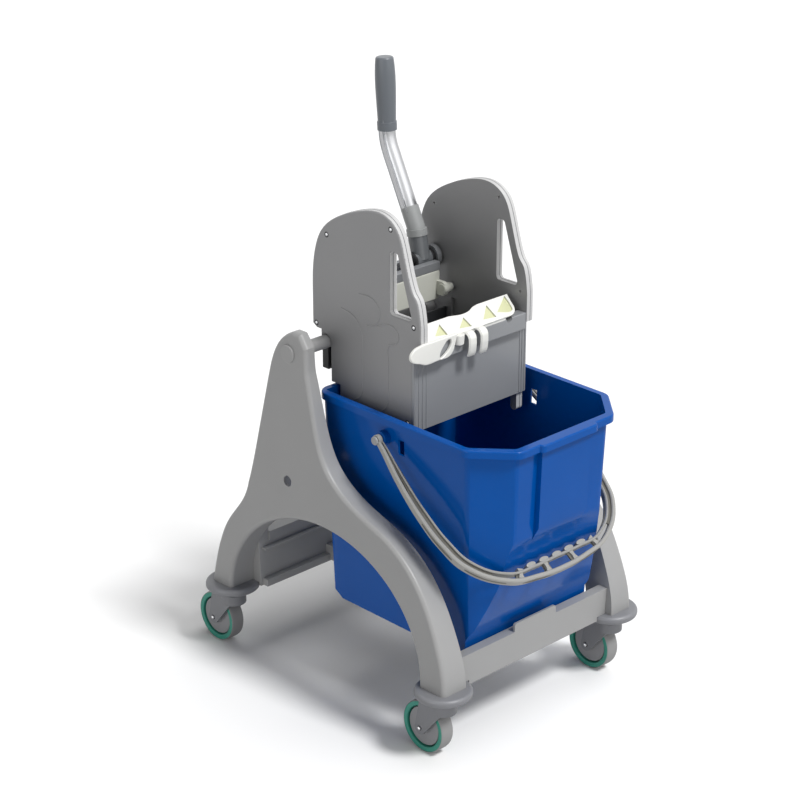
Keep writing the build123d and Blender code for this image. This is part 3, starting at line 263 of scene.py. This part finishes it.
# ---------------------------------------------------------------------------
# Cross tube: a painted steel tube between the tops of the side frames, with an end
# cap in each frame, and the two clips on it that the wringer rests in.
# ---------------------------------------------------------------------------
# Powder coat on steel: smooth and a little lighter than the plastic, with one long soft highlight.
tube_paint = moulded("powder_coated_steel_tube", "A6A6A6", roughness=0.34, grain=2.2, relief=0.03)
# Black polyamide, moulded: so dark that only its rounded edges catch the light.
black_plastic = moulded("black_moulded_polyamide", "1D1D1F", roughness=0.38, grain=1.4, relief=0.03)
dressed("cross_tube", "frame", tube_paint, edge=0.3)
dressed("tube_caps", "frame", frame_plastic, edge=0.9)
dressed("tube_clips", "frame", black_plastic, edge=0.5)

# ---------------------------------------------------------------------------
# Crossbars: channel-section mouldings in the frame's polypropylene, bolted between
# the side frames front and rear, with the rest that the bucket stands on.
# ---------------------------------------------------------------------------
# The raised tab in the middle of the front crossbar is drawn flush with its face.
tab_proud = 1.5
dressed("front_crossbar", "frame", frame_plastic, edge=1.0,
        front=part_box("front_crossbar")[0].y + tab_proud * MM)
dressed("rear_crossbar", "frame", frame_plastic, edge=1.0)


def add_block(shape, centre, size):
    """Adds a block to a bmesh. centre is in metres and size in mm."""
    place = Matrix.Translation(centre) @ Matrix.Diagonal((*[length * MM for length in size], 1))
    bmesh.ops.create_cube(shape, size=1.0, matrix=place)


# The rear crossbar's front face has a flange along its foot and a thin rib under its lip.
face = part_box("rear_crossbar")[0].y
flange_length = 300.0
flanges = bmesh.new()
for up, tall, proud in ((113.2, 12.0, 7.0), (170.0, 4.0, 5.0)):
    add_block(flanges, (0, face, up * MM), (flange_length, 2 * proud, tall))
rounded(flanges, flanges.edges[:], radius=1.0)
finished(flanges, "rear_crossbar_flanges", "frame", frame_plastic)
dressed("bucket_rest", "frame", frame_plastic, edge=0.6)


def bare_metal(name, colour, roughness, grain, relief):
    """Metal with no paint on it: a tinted mirror blurred by a fine grain. grain and relief are in mm."""
    shade, gloss_spread = 0.86, 0.06
    material, tree, out = new_material(name)
    place = add(tree, "ShaderNodeTexCoord").outputs["Object"]
    # The real grain is too fine to show, so it is drawn a few times as wide.
    skin = add(tree, "ShaderNodeTexNoise", Vector=place, Scale=1.0 / (grain * MM), Detail=3.0)
    full = paint(colour)
    dull = (*[c * shade for c in full[:3]], 1.0)
    tint = add(tree, "ShaderNodeMix", {"data_type": "RGBA"}, i0=skin.outputs["Fac"], i6=dull, i7=full)
    sheen = add(tree, "ShaderNodeMapRange", Value=skin.outputs["Fac"],
                To_Min=roughness - gloss_spread, To_Max=roughness + gloss_spread)
    bump = add(tree, "ShaderNodeBump", Height=skin.outputs["Fac"], Strength=1.0, Distance=relief * MM)
    shader = add(tree, "ShaderNodeBsdfPrincipled", Base_Color=tint.outputs[2], Metallic=1.0,
                 Roughness=sheen.outputs["Result"], Normal=bump.outputs["Normal"])
    tree.links.new(shader.outputs[0], out.inputs["Surface"])
    return material


# Zinc plate on steel, dipped bright: small heads that light up as white points.
zinc = bare_metal("bright_zinc_plated_steel", "D6D7D9", roughness=0.26, grain=1.2, relief=0.01)
dressed("frame_bolts", "frame", zinc, edge=0.3)

# ---------------------------------------------------------------------------
# Castors: a bumper disc and a fork cup on each foot, a fork that swivels in the cup,
# and a wheel with a hub, a green ring over it and a grey non-marking rubber tread.
# ---------------------------------------------------------------------------
# Polyamide, moulded: darker and cooler than the frame, with a dull gloss on its round edges.
caster_plastic = moulded("grey_moulded_polyamide", "797A7E", roughness=0.40, grain=1.4, relief=0.03)
# Polypropylene, moulded: a plain light grey disc that lets the ring stand out.
hub_plastic = moulded("grey_polypropylene_hub", "8B8B8E", roughness=0.38, grain=1.2, relief=0.02)
# Polyurethane, moulded over the hub: the one strong green, with a soft shine along its round.
ring_plastic = moulded("green_moulded_polyurethane", "2F8C7A", roughness=0.36, grain=1.2, relief=0.02)
# Thermoplastic rubber, moulded: matt and dusty, with hardly any highlight.
tread_rubber = moulded("grey_thermoplastic_rubber_tread", "8B8B8B", roughness=0.62, grain=1.2, relief=0.04)


def turned(shape, outline, axle, steps=96):
    """Adds to a bmesh a ring turned about a line along X. outline is a loop of (radius, across) in mm."""
    places = [shape.verts.new((axle[0] + across * MM, axle[1], axle[2] + radius * MM))
              for radius, across in outline]
    loop = [shape.edges.new((a, b)) for a, b in zip(places, places[1:] + places[:1])]
    bmesh.ops.spin(shape, geom=places + loop, cent=axle, axis=(1, 0, 0), angle=math.tau, steps=steps,
                   use_merge=True)
    bmesh.ops.remove_doubles(shape, verts=shape.verts, dist=SAME_POINT)
    bmesh.ops.recalc_face_normals(shape, faces=shape.faces)
    return shape


def both_halves(half):
    """The closed outline of a ring that is alike on both sides, from the half that is listed."""
    return [*half, *[(radius, -across) for radius, across in reversed(half)]]


hub_half = ((4.1, 13.0), (7.6, 13.0), (8.8, 12.4), (9.4, 9.4), (11.0, 8.8), (27.6, 9.0), (29.2, 8.4),
            (29.9, 7.0), (30.1, 2.0))
ring_half = ((31.2, 2.0), (31.3, 9.6), (32.0, 10.9), (33.4, 11.5), (37.9, 11.6), (38.6, 11.0))
tread_half = ((38.65, 11.3), (39.0, 11.1), (39.5, 10.2), (39.9, 8.0), (40.0, 4.0))
for corner in ("front_left", "front_right", "rear_left", "rear_right"):
    swivel, wheel = "swivel_" + corner, "wheel_" + corner
    dressed("bumper_" + corner, "frame", caster_plastic, edge=2.0)
    dressed("caster_cup_" + corner, "frame", caster_plastic, edge=1.5)
    dressed("fork_" + corner, swivel, caster_plastic, edge=0.7)
    low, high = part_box("tyre_" + corner)
    axle = (low + high) / 2
    # The axle's domed heads sit in the fork's cheeks, a little slimmer than their holes.
    low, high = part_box("axle_" + corner)
    reach = (high.x - low.x) / 2 / MM
    axle_half = ((0.01, reach), (1.3, reach - 0.2), (2.5, reach - 0.9), (3.0, reach - 2.0), (3.0, reach - 5.0),
                 (3.9, reach - 5.2))
    pin = turned(bmesh.new(), both_halves(axle_half), axle, steps=32)
    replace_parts(finished(pin, "axle_pin_" + corner, swivel, zinc), "axle_" + corner)
    for part, slot, plastic, half in (
        ("wheel_hub_", "hub_grey", hub_plastic, hub_half),
        ("wheel_ring_", "ring_green", ring_plastic, ring_half),
        ("tyre_", "tread_grey", tread_rubber, tread_half),
    ):
        shape = turned(bmesh.new(), both_halves(half), axle)
        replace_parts(finished(shape, part + corner + "_turned", wheel, plastic, turn=35), part + corner)

# ---------------------------------------------------------------------------
# Bucket: one injection moulding in blue polypropylene, with a stiff rim and a raised
# front panel, and the pins moulded in the frame's plastic that its bail swings on.
# ---------------------------------------------------------------------------
# Polypropylene from a polished mould: a deep blue with narrow, clear highlights along its edges. Its
# specular is low, so that the white room doesn't wash the blue out.
bucket_plastic = moulded("glossy_blue_polypropylene", "004FA1", roughness=0.14, grain=3.0, relief=0.008,
                         shade=0.86, specular=0.15)
dressed("bucket", "bucket", bucket_plastic, edge=1.4)
pivot = Vector(next(j for j in frame["joints"] if j["name"] == "bail_swing")["pos_m"])
# The pins are drawn slimmer than their solids, to pass through the bail's small eyes.
dressed("bail_pins", "bucket", frame_plastic, edge=0.8, slim=(0.72, pivot))

# ---------------------------------------------------------------------------
# Bail: a flat moulded loop in warm grey polypropylene, with two rails, a sunk web
# between them, a grip at its middle, and an eye at each end that snaps over a pin.
# ---------------------------------------------------------------------------
# Polypropylene from a smooth mould: warmer than the frame, with a bright line along each rail.
bail_plastic = moulded("warm_grey_polypropylene", "989793", roughness=0.24, grain=1.4, relief=0.02)
# The same plastic, darkened as painted shade: dull and dark, so that the channel reads as deep.
shaded_channel_plastic = moulded("grey_polypropylene_in_painted_shade", "5C5A54", roughness=0.55, grain=1.4, relief=0.03)
# The bail is drawn flat: across is +X, away runs from its pins to its grip, and the third axis looks
# forward and up. It hangs forward from the pins, this far below level.
bail_tilt = math.radians(38.23)
bail_place = Matrix((
    (1, 0, 0, pivot.x),
    (0, -math.cos(bail_tilt), -math.sin(bail_tilt), pivot.y),
    (0, -math.sin(bail_tilt), math.cos(bail_tilt), pivot.z),
    (0, 0, 0, 1),
))


def meshed(drawn):
    """A bmesh of a curve object, merged and with its faces outwards. The object itself is removed."""
    bpy.context.view_layer.update()
    mesh = bpy.data.meshes.new_from_object(drawn.evaluated_get(bpy.context.evaluated_depsgraph_get()))
    shape = bmesh.new()
    shape.from_mesh(mesh)
    bpy.data.objects.remove(drawn)
    bpy.data.meshes.remove(mesh)
    bmesh.ops.remove_doubles(shape, verts=shape.verts, dist=0.01 * MM)
    bmesh.ops.recalc_face_normals(shape, faces=shape.faces)
    return shape


def flat_curve(name):
    """An empty flat curve and its object."""
    curve = bpy.data.curves.new(name, "CURVE")
    curve.dimensions = "2D"
    drawn = bpy.data.objects.new(name, curve)
    bpy.context.scene.collection.objects.link(drawn)
    return curve, drawn


def swept(points, width, height, rounding, ends=1.0):
    """A bmesh of a bar swept in the XY plane through points, with a rounded rectangular section, all in mm.

    ends is the share of its section that the bar keeps at its two ends."""
    section, section_drawn = flat_curve("section")
    x, y, r = width / 2, height / 2, rounding
    corners = ((x - r, -y), (x, r - y), (x, y - r), (x - r, y),
               (r - x, y), (-x, y - r), (-x, r - y), (r - x, -y))
    line = section.splines.new("POLY")
    line.points.add(len(corners) - 1)
    line.use_cyclic_u = True
    for point, (a, b) in zip(line.points, corners):
        point.co = (a * MM, b * MM, 0, 1)
    path, path_drawn = flat_curve("path")
    path.resolution_u = 14
    path.use_fill_caps = True
    path.bevel_mode = "OBJECT"
    path.bevel_object = section_drawn
    last = len(points) - 1
    line = path.splines.new("BEZIER")
    line.bezier_points.add(last)
    for count, (point, (a, b)) in enumerate(zip(line.bezier_points, points)):
        # The section is full from a little under a third of the way in.
        grown = min(1.0, min(count, last - count) / last * 3.2)
        point.co = (a * MM, b * MM, 0)
        point.radius = ends + (1.0 - ends) * grown
        point.handle_left_type = point.handle_right_type = "AUTO"
    shape = meshed(path_drawn)
    bpy.data.objects.remove(section_drawn)
    return shape


def both_sides(points):
    """The points and their mirror image across the middle, from left to right."""
    return [(-x, y) for x, y in points] + [(x, y) for x, y in reversed(points) if x > 0]


outer_line = ((155.2, 4), (155.6, 12), (165.5, 72), (169.8, 134), (166.1, 182), (152.4, 224), (99.8, 267.2),
              (50, 278), (0, 281.2))
inner_line = ((149.8, 4), (149.9, 12), (156.0, 72), (157.8, 134), (154.2, 180), (141.0, 221), (93.4, 258),
              (46, 262.6), (0, 262.4))
rail_height = 12.0
for name, rail_line, width in (("bail_outer_rail", outer_line, 6.4), ("bail_inner_rail", inner_line, 4.0)):
    rail = swept(both_sides(rail_line), width, rail_height, rounding=1.4, ends=0.6)
    rail.transform(bail_place)
    finished(rail, name, "bail", bail_plastic)

# The web between the rails is the CAD bail, thinned to a fifth about its middle plane and cut off short
# of the eyes.
web_start = 12.0
web = merged_copy("bail")
web.transform(bail_place.inverted())
bmesh.ops.bisect_plane(web, geom=[*web.verts, *web.edges, *web.faces], plane_co=(0, web_start * MM, 0),
                       plane_no=(0, -1, 0), clear_outer=True)
bmesh.ops.holes_fill(web, edges=[e for e in web.edges if e.is_boundary])
bmesh.ops.scale(web, vec=(1, 1, 0.2), verts=web.verts)
web.transform(bail_place)
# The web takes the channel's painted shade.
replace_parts(finished(web, "bail_web", "bail", shaded_channel_plastic), "bail")

# Four ties cross the channel between the windows, each a block that narrows to its middle.
tie_width, tie_length, tie_height = 9.5, 15.0, 8.0
ties = bmesh.new()
for across, away, turn in (
    (-76.0, 264.0, 27.0), (-27.0, 270.0, 6.0), (27.0, 270.0, -6.0), (76.0, 264.0, -27.0),
):
    tie = Matrix.Translation((across * MM, away * MM, 0)) @ Matrix.Rotation(math.radians(turn), 4, "Z")
    tie = tie @ Matrix.Diagonal((tie_width * MM, tie_length * MM, tie_height * MM, 1))
    block = bmesh.ops.create_cube(ties, size=1.0, matrix=tie)["verts"]
    long_edges = [e for e in {e for v in block for e in v.link_edges}
                  if abs(e.calc_length() - tie_length * MM) < 0.1 * MM]
    cuts = bmesh.ops.subdivide_edges(ties, edges=long_edges, cuts=4)["geom_inner"]
    for corner in [v for v in cuts if isinstance(v, bmesh.types.BMVert)]:
        # place is in shares of the block's own size, so the middle is at nought and an end at a half.
        place = tie.inverted() @ corner.co
        place.x *= 0.55 + 2.0 * place.y ** 2
        corner.co = tie @ place
ties.transform(bail_place)
finished(ties, "bail_ties", "bail", bail_plastic)

# The eyes are round the pins, just outside the bucket's walls.
eye_across = 152.8
eye_outline = ((5.0, 3.6), (6.8, 3.6), (7.6, 2.8), (7.6, -2.8), (6.8, -3.6), (5.0, -3.6))
for name, side in (("left", -1), ("right", 1)):
    eye = turned(bmesh.new(), eye_outline, Vector((side * eye_across * MM, pivot.y, pivot.z)))
    finished(eye, "bail_eye_" + name, "bail", bail_plastic, turn=35)


def rims(shape):
    """The edges of a bmesh that turn by more than 60 degrees, such as those round a cylinder's ends."""
    return [e for e in shape.edges if e.calc_face_angle(0) > math.radians(60)]


# A row of oval finger stops stands on the inner rail, behind the grip.
stop_radius, stop_height, stop_stretch = 3.9, 11.0, 2.3
stops = bmesh.new()
for across in (-52.0, -26.0, 0.0, 26.0, 52.0):
    away = 259.6 - abs(across) * 0.02
    stop = Matrix.Translation((across * MM, away * MM, 0)) @ Matrix.Diagonal((stop_stretch, 1, 1, 1))
    bmesh.ops.create_cone(stops, cap_ends=True, segments=28, radius1=stop_radius * MM, radius2=stop_radius * MM,
                          depth=stop_height * MM, matrix=stop)
rounded(stops, rims(stops), radius=0.9)
stops.transform(bail_place)
finished(stops, "bail_finger_stops", "bail", bail_plastic)

# ---------------------------------------------------------------------------
# Wringer body: two side plates cut from polypropylene sheet, each with a screwed
# cover, a front and a rear panel between them, and a perforated base for the water.
# ---------------------------------------------------------------------------
# Polypropylene sheet with a satin face: the same grey as the frame, a touch darker and flatter.
wringer_plastic = moulded("satin_grey_polypropylene", "8E8E8F", roughness=0.40, grain=1.6, relief=0.02)
# Charcoal polypropylene, moulded, and darkened further as painted shade, so that the wringer looks deep inside.
well_plastic = moulded("charcoal_polypropylene_with_painted_shade", "2E2F31", roughness=0.45, grain=1.6, relief=0.02)
# The sheet's edges after the saw and a scraper, with painted highlight besides: pale and bright, so that they
# outline each plate.
sawn_and_lit_edge = moulded("sawn_grey_polypropylene_edge_with_painted_highlight", "C2C2C2", roughness=0.36, grain=1.2, relief=0.03)
for side in ("left", "right"):
    dressed("side_plate_" + side, "wringer", wringer_plastic, edge=1.2, pale_edges=sawn_and_lit_edge)
    dressed("side_cover_" + side, "wringer", wringer_plastic, edge=1.3, pale_edges=sawn_and_lit_edge)
# Polypropylene, moulded with flutes: a cooler grey with a slightly clearer shine.
panel_plastic = moulded("ribbed_grey_polypropylene", "8E9093", roughness=0.34, grain=1.6, relief=0.02)
dressed("front_panel", "wringer", panel_plastic, edge=0.6)
# The rear panel and the sieve base are dark plastic with painted shade.
dressed("rear_panel", "wringer", well_plastic, edge=0.6)
dressed("sieve_base", "wringer", well_plastic, edge=0.4)

# Lines moulded on both covers, and the small screws, each in a flat black ring of painted shade for its
# counterbore. Their places are in mm from the cross tube's middle, to the rear and up.
low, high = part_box("cross_tube")
tube = (low + high) / 2
cover_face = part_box("side_cover_right")[1].x
line_sunk = 0.1
beads = (
    ((-35, 61), (-57, 57), (-71, 47), (-78, 31), (-79, 0), (-79, -40), (-76, -61), (-61, -74)),
    ((-73, 92), (-94, 93), (-110, 85), (-115, 72), (-107, 56), (-89, 48)),
    ((-110, 54), (-128, 61), (-145, 60), (-153, 48), (-147, 37), (-134, 31), (-132, 5), (-132, -35),
     (-131, -60), (-118, -74)),
)
screws = ((-5.0, 164.0), (-137.0, 203.0), (19.0, 24.0), (-183.0, 71.0), (-171.0, -76.0))
head_outline = ((0.01, 1.1), (1.2, 1.0), (2.2, 0.5), (2.5, 0.0), (2.5, -1.0), (0.01, -1.0))
shade_ring_outline = ((2.6, 0.1), (4.2, 0.1), (4.5, -0.1), (4.5, -1.0), (2.6, -1.0))
lines = bmesh.new()
heads = bmesh.new()
shade_rings = bmesh.new()
for side in (-1, 1):
    on_cover = Matrix((
        (0, 0, 1, side * (cover_face - line_sunk * MM)),
        (1, 0, 0, tube.y),
        (0, 1, 0, tube.z),
        (0, 0, 0, 1),
    ))
    for bead in beads:
        raised = swept(bead, width=2.4, height=2.2, rounding=0.8)
        raised.transform(on_cover)
        joined = bpy.data.meshes.new("joined")
        raised.to_mesh(joined)
        raised.free()
        lines.from_mesh(joined)
        bpy.data.meshes.remove(joined)
    for back, up in screws:
        centre = (side * cover_face, tube.y + back * MM, tube.z + up * MM)
        turned(heads, [(radius, side * proud) for radius, proud in head_outline], centre, steps=28)
        turned(shade_rings, [(radius, side * proud) for radius, proud in shade_ring_outline], centre, steps=28)
bmesh.ops.recalc_face_normals(lines, faces=lines.faces)
finished(lines, "cover_lines", "wringer", wringer_plastic)
# The black rings paint the shade in the counterbores round the screw heads.
finished(shade_rings, "counterbore_painted_shade", "wringer", black_plastic)
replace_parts(finished(heads, "screw_heads", "wringer", zinc), "plate_screws")
dressed("shaft_bushes", "wringer", black_plastic, edge=0.5)

# Upright flutes at both ends of the front panel. Its face is set back from the lip along its top.
flute_width, flute_length, flute_middle, face_back = 1.8, 100.0, 51.5, 12.0
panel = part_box("front_panel")[0]
flutes = bmesh.new()
for across in (-111.5, -104.3, -97.0, -89.5, 100.5, 105.6, 111.0):
    add_block(flutes, (across * MM, panel.y + face_back * MM, panel.z + flute_middle * MM),
              (flute_width, flute_width, flute_length))
rounded(flutes, flutes.edges[:], radius=0.6)
finished(flutes, "panel_flutes", "wringer", panel_plastic)

# The seam between each plate and its cover is a dark slice of the plate that stands a hair out of its
# edge. Polypropylene in shade: dull and dark, so that it reads as a gap.
seam_plastic = moulded("shadowed_grey_polypropylene", "55565A", roughness=0.5, grain=1.6, relief=0.02)
seam_across, seam_shift, seam_proud = 107.0, 0.4, 0.18
for name, side in (("left", -1), ("right", 1)):
    seam = merged_copy("side_plate_" + name)
    seam.transform(Matrix.Translation((side * seam_shift * MM, 0, 0)))
    bmesh.ops.bisect_plane(seam, geom=[*seam.verts, *seam.edges, *seam.faces],
                           plane_co=(side * (seam_across - seam_shift) * MM, 0, 0), plane_no=(side, 0, 0),
                           clear_inner=True)
    bmesh.ops.triangle_fill(seam, use_beauty=True, edges=[e for e in seam.edges if e.is_boundary])
    bmesh.ops.recalc_face_normals(seam, faces=seam.faces)
    for corner in seam.verts:
        out_of_edge = Vector((0, corner.normal.y, corner.normal.z))
        if out_of_edge.length > 0.2:
            corner.co += out_of_edge.normalized() * seam_proud * MM
    finished(seam, "plate_seam_" + name, "wringer", seam_plastic)

# ---------------------------------------------------------------------------
# Mop adapter: a white acetal moulding that feeds the mop into the wringer. A tab and
# a foot stand on the front panel's top edge, and two hooks curl down over its face.
# ---------------------------------------------------------------------------
# Acetal, moulded: nearly white with a slightly waxy gloss, so that it is the brightest part.
adapter_plastic = moulded("white_moulded_acetal", "E4E4DF", roughness=0.30, grain=1.6, relief=0.02, shade=0.97)
# The same acetal at the bottom of its pockets, where the light is yellowed: a pale olive.
pocket_plastic = moulded("olive_shaded_acetal", "CFD1A8", roughness=0.42, grain=1.6, relief=0.02, shade=0.9)


def sheet(outlines, thickness, rounding):
    """A bmesh of a flat sheet in the XY plane with rounded edges, all in mm.

    Each outline is a loop of (x, y, soft), where the line bends gently through a soft point. The first is
    the sheet's own, and the others are holes in it."""
    curve, drawn = flat_curve("sheet")
    curve.fill_mode = "BOTH"
    curve.resolution_u = 8
    curve.extrude = (thickness / 2 - rounding) * MM
    curve.bevel_depth = rounding * MM
    curve.bevel_resolution = 2
    curve.offset = -rounding * MM
    for outline in outlines:
        line = curve.splines.new("BEZIER")
        line.bezier_points.add(len(outline) - 1)
        line.use_cyclic_u = True
        for point, (x, y, soft) in zip(line.bezier_points, outline):
            point.co = (x * MM, y * MM, 0)
            point.handle_left_type = point.handle_right_type = "AUTO" if soft else "VECTOR"
    return meshed(drawn)


# The feed plate is drawn flat: along is +X, and away climbs from the panel to the rear, 1 up in 2 back.
edge_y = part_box("mop_adapter")[0].y
feed_foot = Vector((0, edge_y + 4.2 * MM, tube.z + 46.0 * MM))
feed_rise = Vector((0, 34.0, 17.0)).normalized()
feed_place = Matrix((
    (1, 0, 0, 0),
    (0, feed_rise.y, -feed_rise.z, feed_foot.y),
    (0, feed_rise.z, feed_rise.y, feed_foot.z),
    (0, 0, 0, 1),
))
feed_edge = (
    (-99, 0, False), (62, 0, False), (74, 2, True), (83, 10, True), (88, 24, True), (93, 38, False),
    (30, 38, False), (20, 36, True), (8, 31.5, True), (-6, 30, True), (-20, 32, True), (-30, 34, False),
    (-99, 34, False),
)
pockets = (
    ((-55, 26, False), (-78, 9, False), (-57, 5, False)),
    ((-9, 24, False), (-31, 8, False), (-9, 5, False)),
    ((44, 31, False), (18, 9, False), (42, 6, False)),
    ((86, 36, False), (50, 13, False), (76, 8, True), (82, 18, True)),
)
plate = sheet([feed_edge, *pockets], thickness=2.6, rounding=0.6)
plate.transform(feed_place)
finished(plate, "adapter_feed_plate", "wringer", adapter_plastic)
# A thinner sheet, a little smaller all round, closes the pockets from below.
pocket_depth = 1.9
floor_edge = [(x * 0.985 - 1, 2 + y * 0.9, soft) for x, y, soft in feed_edge]
pocket_floor = sheet([floor_edge], thickness=1.2, rounding=0.3)
pocket_floor.transform(feed_place @ Matrix.Translation((0, 0, -pocket_depth * MM)))
finished(pocket_floor, "adapter_pocket_floor", "wringer", pocket_plastic)
# The foot fills the space between the feed plate and the panel's top edge.
foot = bmesh.new()
add_block(foot, (-20.0 * MM, edge_y + 11.0 * MM, tube.z + 44.0 * MM), (156.0, 11.0, 6.0))
rounded(foot, foot.edges[:], radius=0.9)
finished(foot, "adapter_foot", "wringer", adapter_plastic)
# The tab stands over the panel's left end and has a slanted slot.
tab_place = Matrix(((1, 0, 0, 0), (0, 0, -1, edge_y + 2.0 * MM), (0, 1, 0, tube.z), (0, 0, 0, 1)))
tab_edge = (
    (-134, 30, True), (-137, 38, True), (-131, 46, True), (-116, 50, True), (-99, 50.5, False),
    (-46, 50.5, False), (-49, 38, True), (-59, 21, True), (-84, 19, False), (-108, 19, True), (-118, 23, True),
    (-127, 26, True),
)
slot_edge = ((-79, 22, True), (-75, 22, True), (-58, 43, True), (-64, 45, True), (-68, 43, True))
tab = sheet([tab_edge, slot_edge], thickness=5.0, rounding=1.6)
tab.transform(tab_place)
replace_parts(finished(tab, "adapter_tab", "wringer", adapter_plastic), "mop_adapter")
# Each hook is drawn as it looks from the side, forward and up, and curls forward and down.
hook_depth, hook_width = 4.6, 15.5
for name, across, drop in (("adapter_left_hook", -21.5, 0.0), ("adapter_right_hook", 2.0, 1.5)):
    hook_line = ((-2, -2), (5, -3), (9, -7), (10.2, -14), (9.8, -24), (8.4, -31 - drop), (6.5, -35 - drop))
    hook = swept(hook_line, hook_depth, hook_width, rounding=2.1)
    hook.transform(Matrix((
        (0, 0, 1, across * MM),
        (-1, 0, 0, edge_y + 4.0 * MM),
        (0, 1, 0, tube.z + 47 * MM),
        (0, 0, 0, 1),
    )))
    finished(hook, name, "wringer", adapter_plastic)
# A short round post, a little wider at its top, stands between the tab and the left hook.
post = bmesh.new()
post_place = Matrix.Translation((-38.5 * MM, edge_y + 5.0 * MM, tube.z + 38.5 * MM))
bmesh.ops.create_cone(post, cap_ends=True, segments=40, radius1=7.6 * MM, radius2=8.6 * MM, depth=15.0 * MM,
                      matrix=post_place)
rounded(post, rims(post), radius=1.0, segments=3)
finished(post, "adapter_post", "wringer", adapter_plastic)

# ---------------------------------------------------------------------------
# Lever: a steel shaft across the wringer in two bushes, a moulded socket fixed on it,
# and a bent aluminium tube in the socket, with a moulded sleeve and a soft grip.
# ---------------------------------------------------------------------------
# Glass-filled polyamide, moulded: a mid grey with a slightly dry, broken shine.
lever_plastic = moulded("glass_filled_grey_polyamide", "828487", roughness=0.40, grain=1.4, relief=0.03)
# Plain polyamide, moulded: lighter and smoother than the parts round it, so the sleeve stands out.
sleeve_plastic = moulded("light_grey_polyamide_sleeve", "9A9C9C", roughness=0.36, grain=1.4, relief=0.02)
# Polyamide from a polished mould: dark, with sharp small highlights on its steps.
socket_plastic = moulded("dark_grey_polyamide_socket", "6A6D70", roughness=0.22, grain=1.4, relief=0.02)
# Ground and polished steel: it mirrors the dark well and the white room in narrow bands.
polished_steel = bare_metal("polished_steel_shaft", "A2A4A7", roughness=0.14, grain=1.2, relief=0.005)
# Aluminium tube, etched and anodised: pale, with one broad silky highlight down its length.
aluminium = bare_metal("anodised_aluminium_tube", "C2C3C5", roughness=0.34, grain=1.4, relief=0.004)
# Rubber with a soft-touch skin: a cool slate that is lit evenly, with a low shine on its round.
grip_rubber = moulded("slate_soft_touch_rubber", "64696F", roughness=0.30, grain=1.2, relief=0.02)
dressed("lever_shaft", "lever", polished_steel, edge=0.4)
dressed("shaft_cams", "lever", lever_plastic, edge=0.6)
dressed("lever_socket", "lever", socket_plastic, edge=0.6)
dressed("lever_tube", "lever", aluminium, edge=0.3)
dressed("lever_sleeve", "lever", sleeve_plastic, edge=0.6)
dressed("lever_grip", "lever", grip_rubber, edge=0.8)

# A pressed rib runs up the left side of the tube, between two fine grooves, each drawn as a thin bar of the
# darker polished steel as painted shade. Its places are in mm from the shaft, to the rear and up.
low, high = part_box("lever_shaft")
shaft = (low + high) / 2
tube_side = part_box("lever_tube")[0].x
rib_place = Matrix(((0, 0, 1, tube_side + 0.7 * MM), (1, 0, 0, shaft.y), (0, 1, 0, shaft.z), (0, 0, 0, 1)))
rib_line = ((20, 68), (40, 108), (52, 132), (62, 152), (68.5, 170), (71.2, 192), (72, 204))
# The grooves' darker steel paints their shade.
for name, shift, width, depth, metal in (
    ("lever_rib", 0.0, 6.6, 2.6, aluminium),
    ("lever_groove_front", -5.0, 1.6, 1.8, polished_steel),
    ("lever_groove_rear", 5.0, 1.6, 1.8, polished_steel),
):
    # The tube leans back, and each groove is set off from the rib square to that slope.
    rib = swept([(back + shift, up - shift * 0.45) for back, up in rib_line], width, depth, rounding=0.4)
    rib.transform(rib_place)
    finished(rib, name, "lever", metal)

# Black washers on the shaft, either side of the socket's hub; their black is partly painted shade for the dark
# gaps there.
washer_outline = ((8.1, -2.0), (12.4, -2.0), (13.2, -1.2), (13.2, 1.2), (12.4, 2.0), (8.1, 2.0))
washer_gap = 2.2
low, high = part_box("lever_socket")
washers = bmesh.new()
for across in (low.x - washer_gap * MM, high.x + washer_gap * MM):
    turned(washers, washer_outline, Vector((across, shaft.y, shaft.z)), steps=48)
finished(washers, "socket_washers", "lever", black_plastic)

# ---------------------------------------------------------------------------
# Press: an ivory moulded pad that squeezes the mop against the front panel, fixed to
# a grey carrier that slides between the side plates, with a guide pin on each side.
# ---------------------------------------------------------------------------
# Unpigmented polypropylene, moulded: a soft ivory that glows a little inside the dark wringer.
pad_plastic = moulded("ivory_moulded_polypropylene", "D9DAD0", roughness=0.36, grain=1.6, relief=0.02)
dressed("press_pad", "press", pad_plastic, edge=0.9)
dressed("press_carrier", "press", lever_plastic, edge=0.6)
dressed("guide_pins", "press", lever_plastic, edge=0.5)

# Tapered bosses fill the pad's ears and carry the guide pins.
boss_across = 82.0
boss_outline = ((0.01, -5.2), (7.4, -5.0), (8.4, -4.2), (8.4, 3.0), (7.3, 8.0), (6.6, 13.6), (6.1, 14.6),
                (0.01, 14.8))
low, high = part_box("guide_pins")
bosses = bmesh.new()
for side in (-1, 1):
    centre = Vector((side * boss_across * MM, (low.y + high.y) / 2, (low.z + high.z) / 2))
    turned(bosses, [(radius, side * out) for radius, out in boss_outline], centre, steps=40)
finished(bosses, "pad_bosses", "press", pad_plastic)

# ---------------------------------------------------------------------------
# The box round everything that is shown, but the floor.
# ---------------------------------------------------------------------------
low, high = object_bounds()
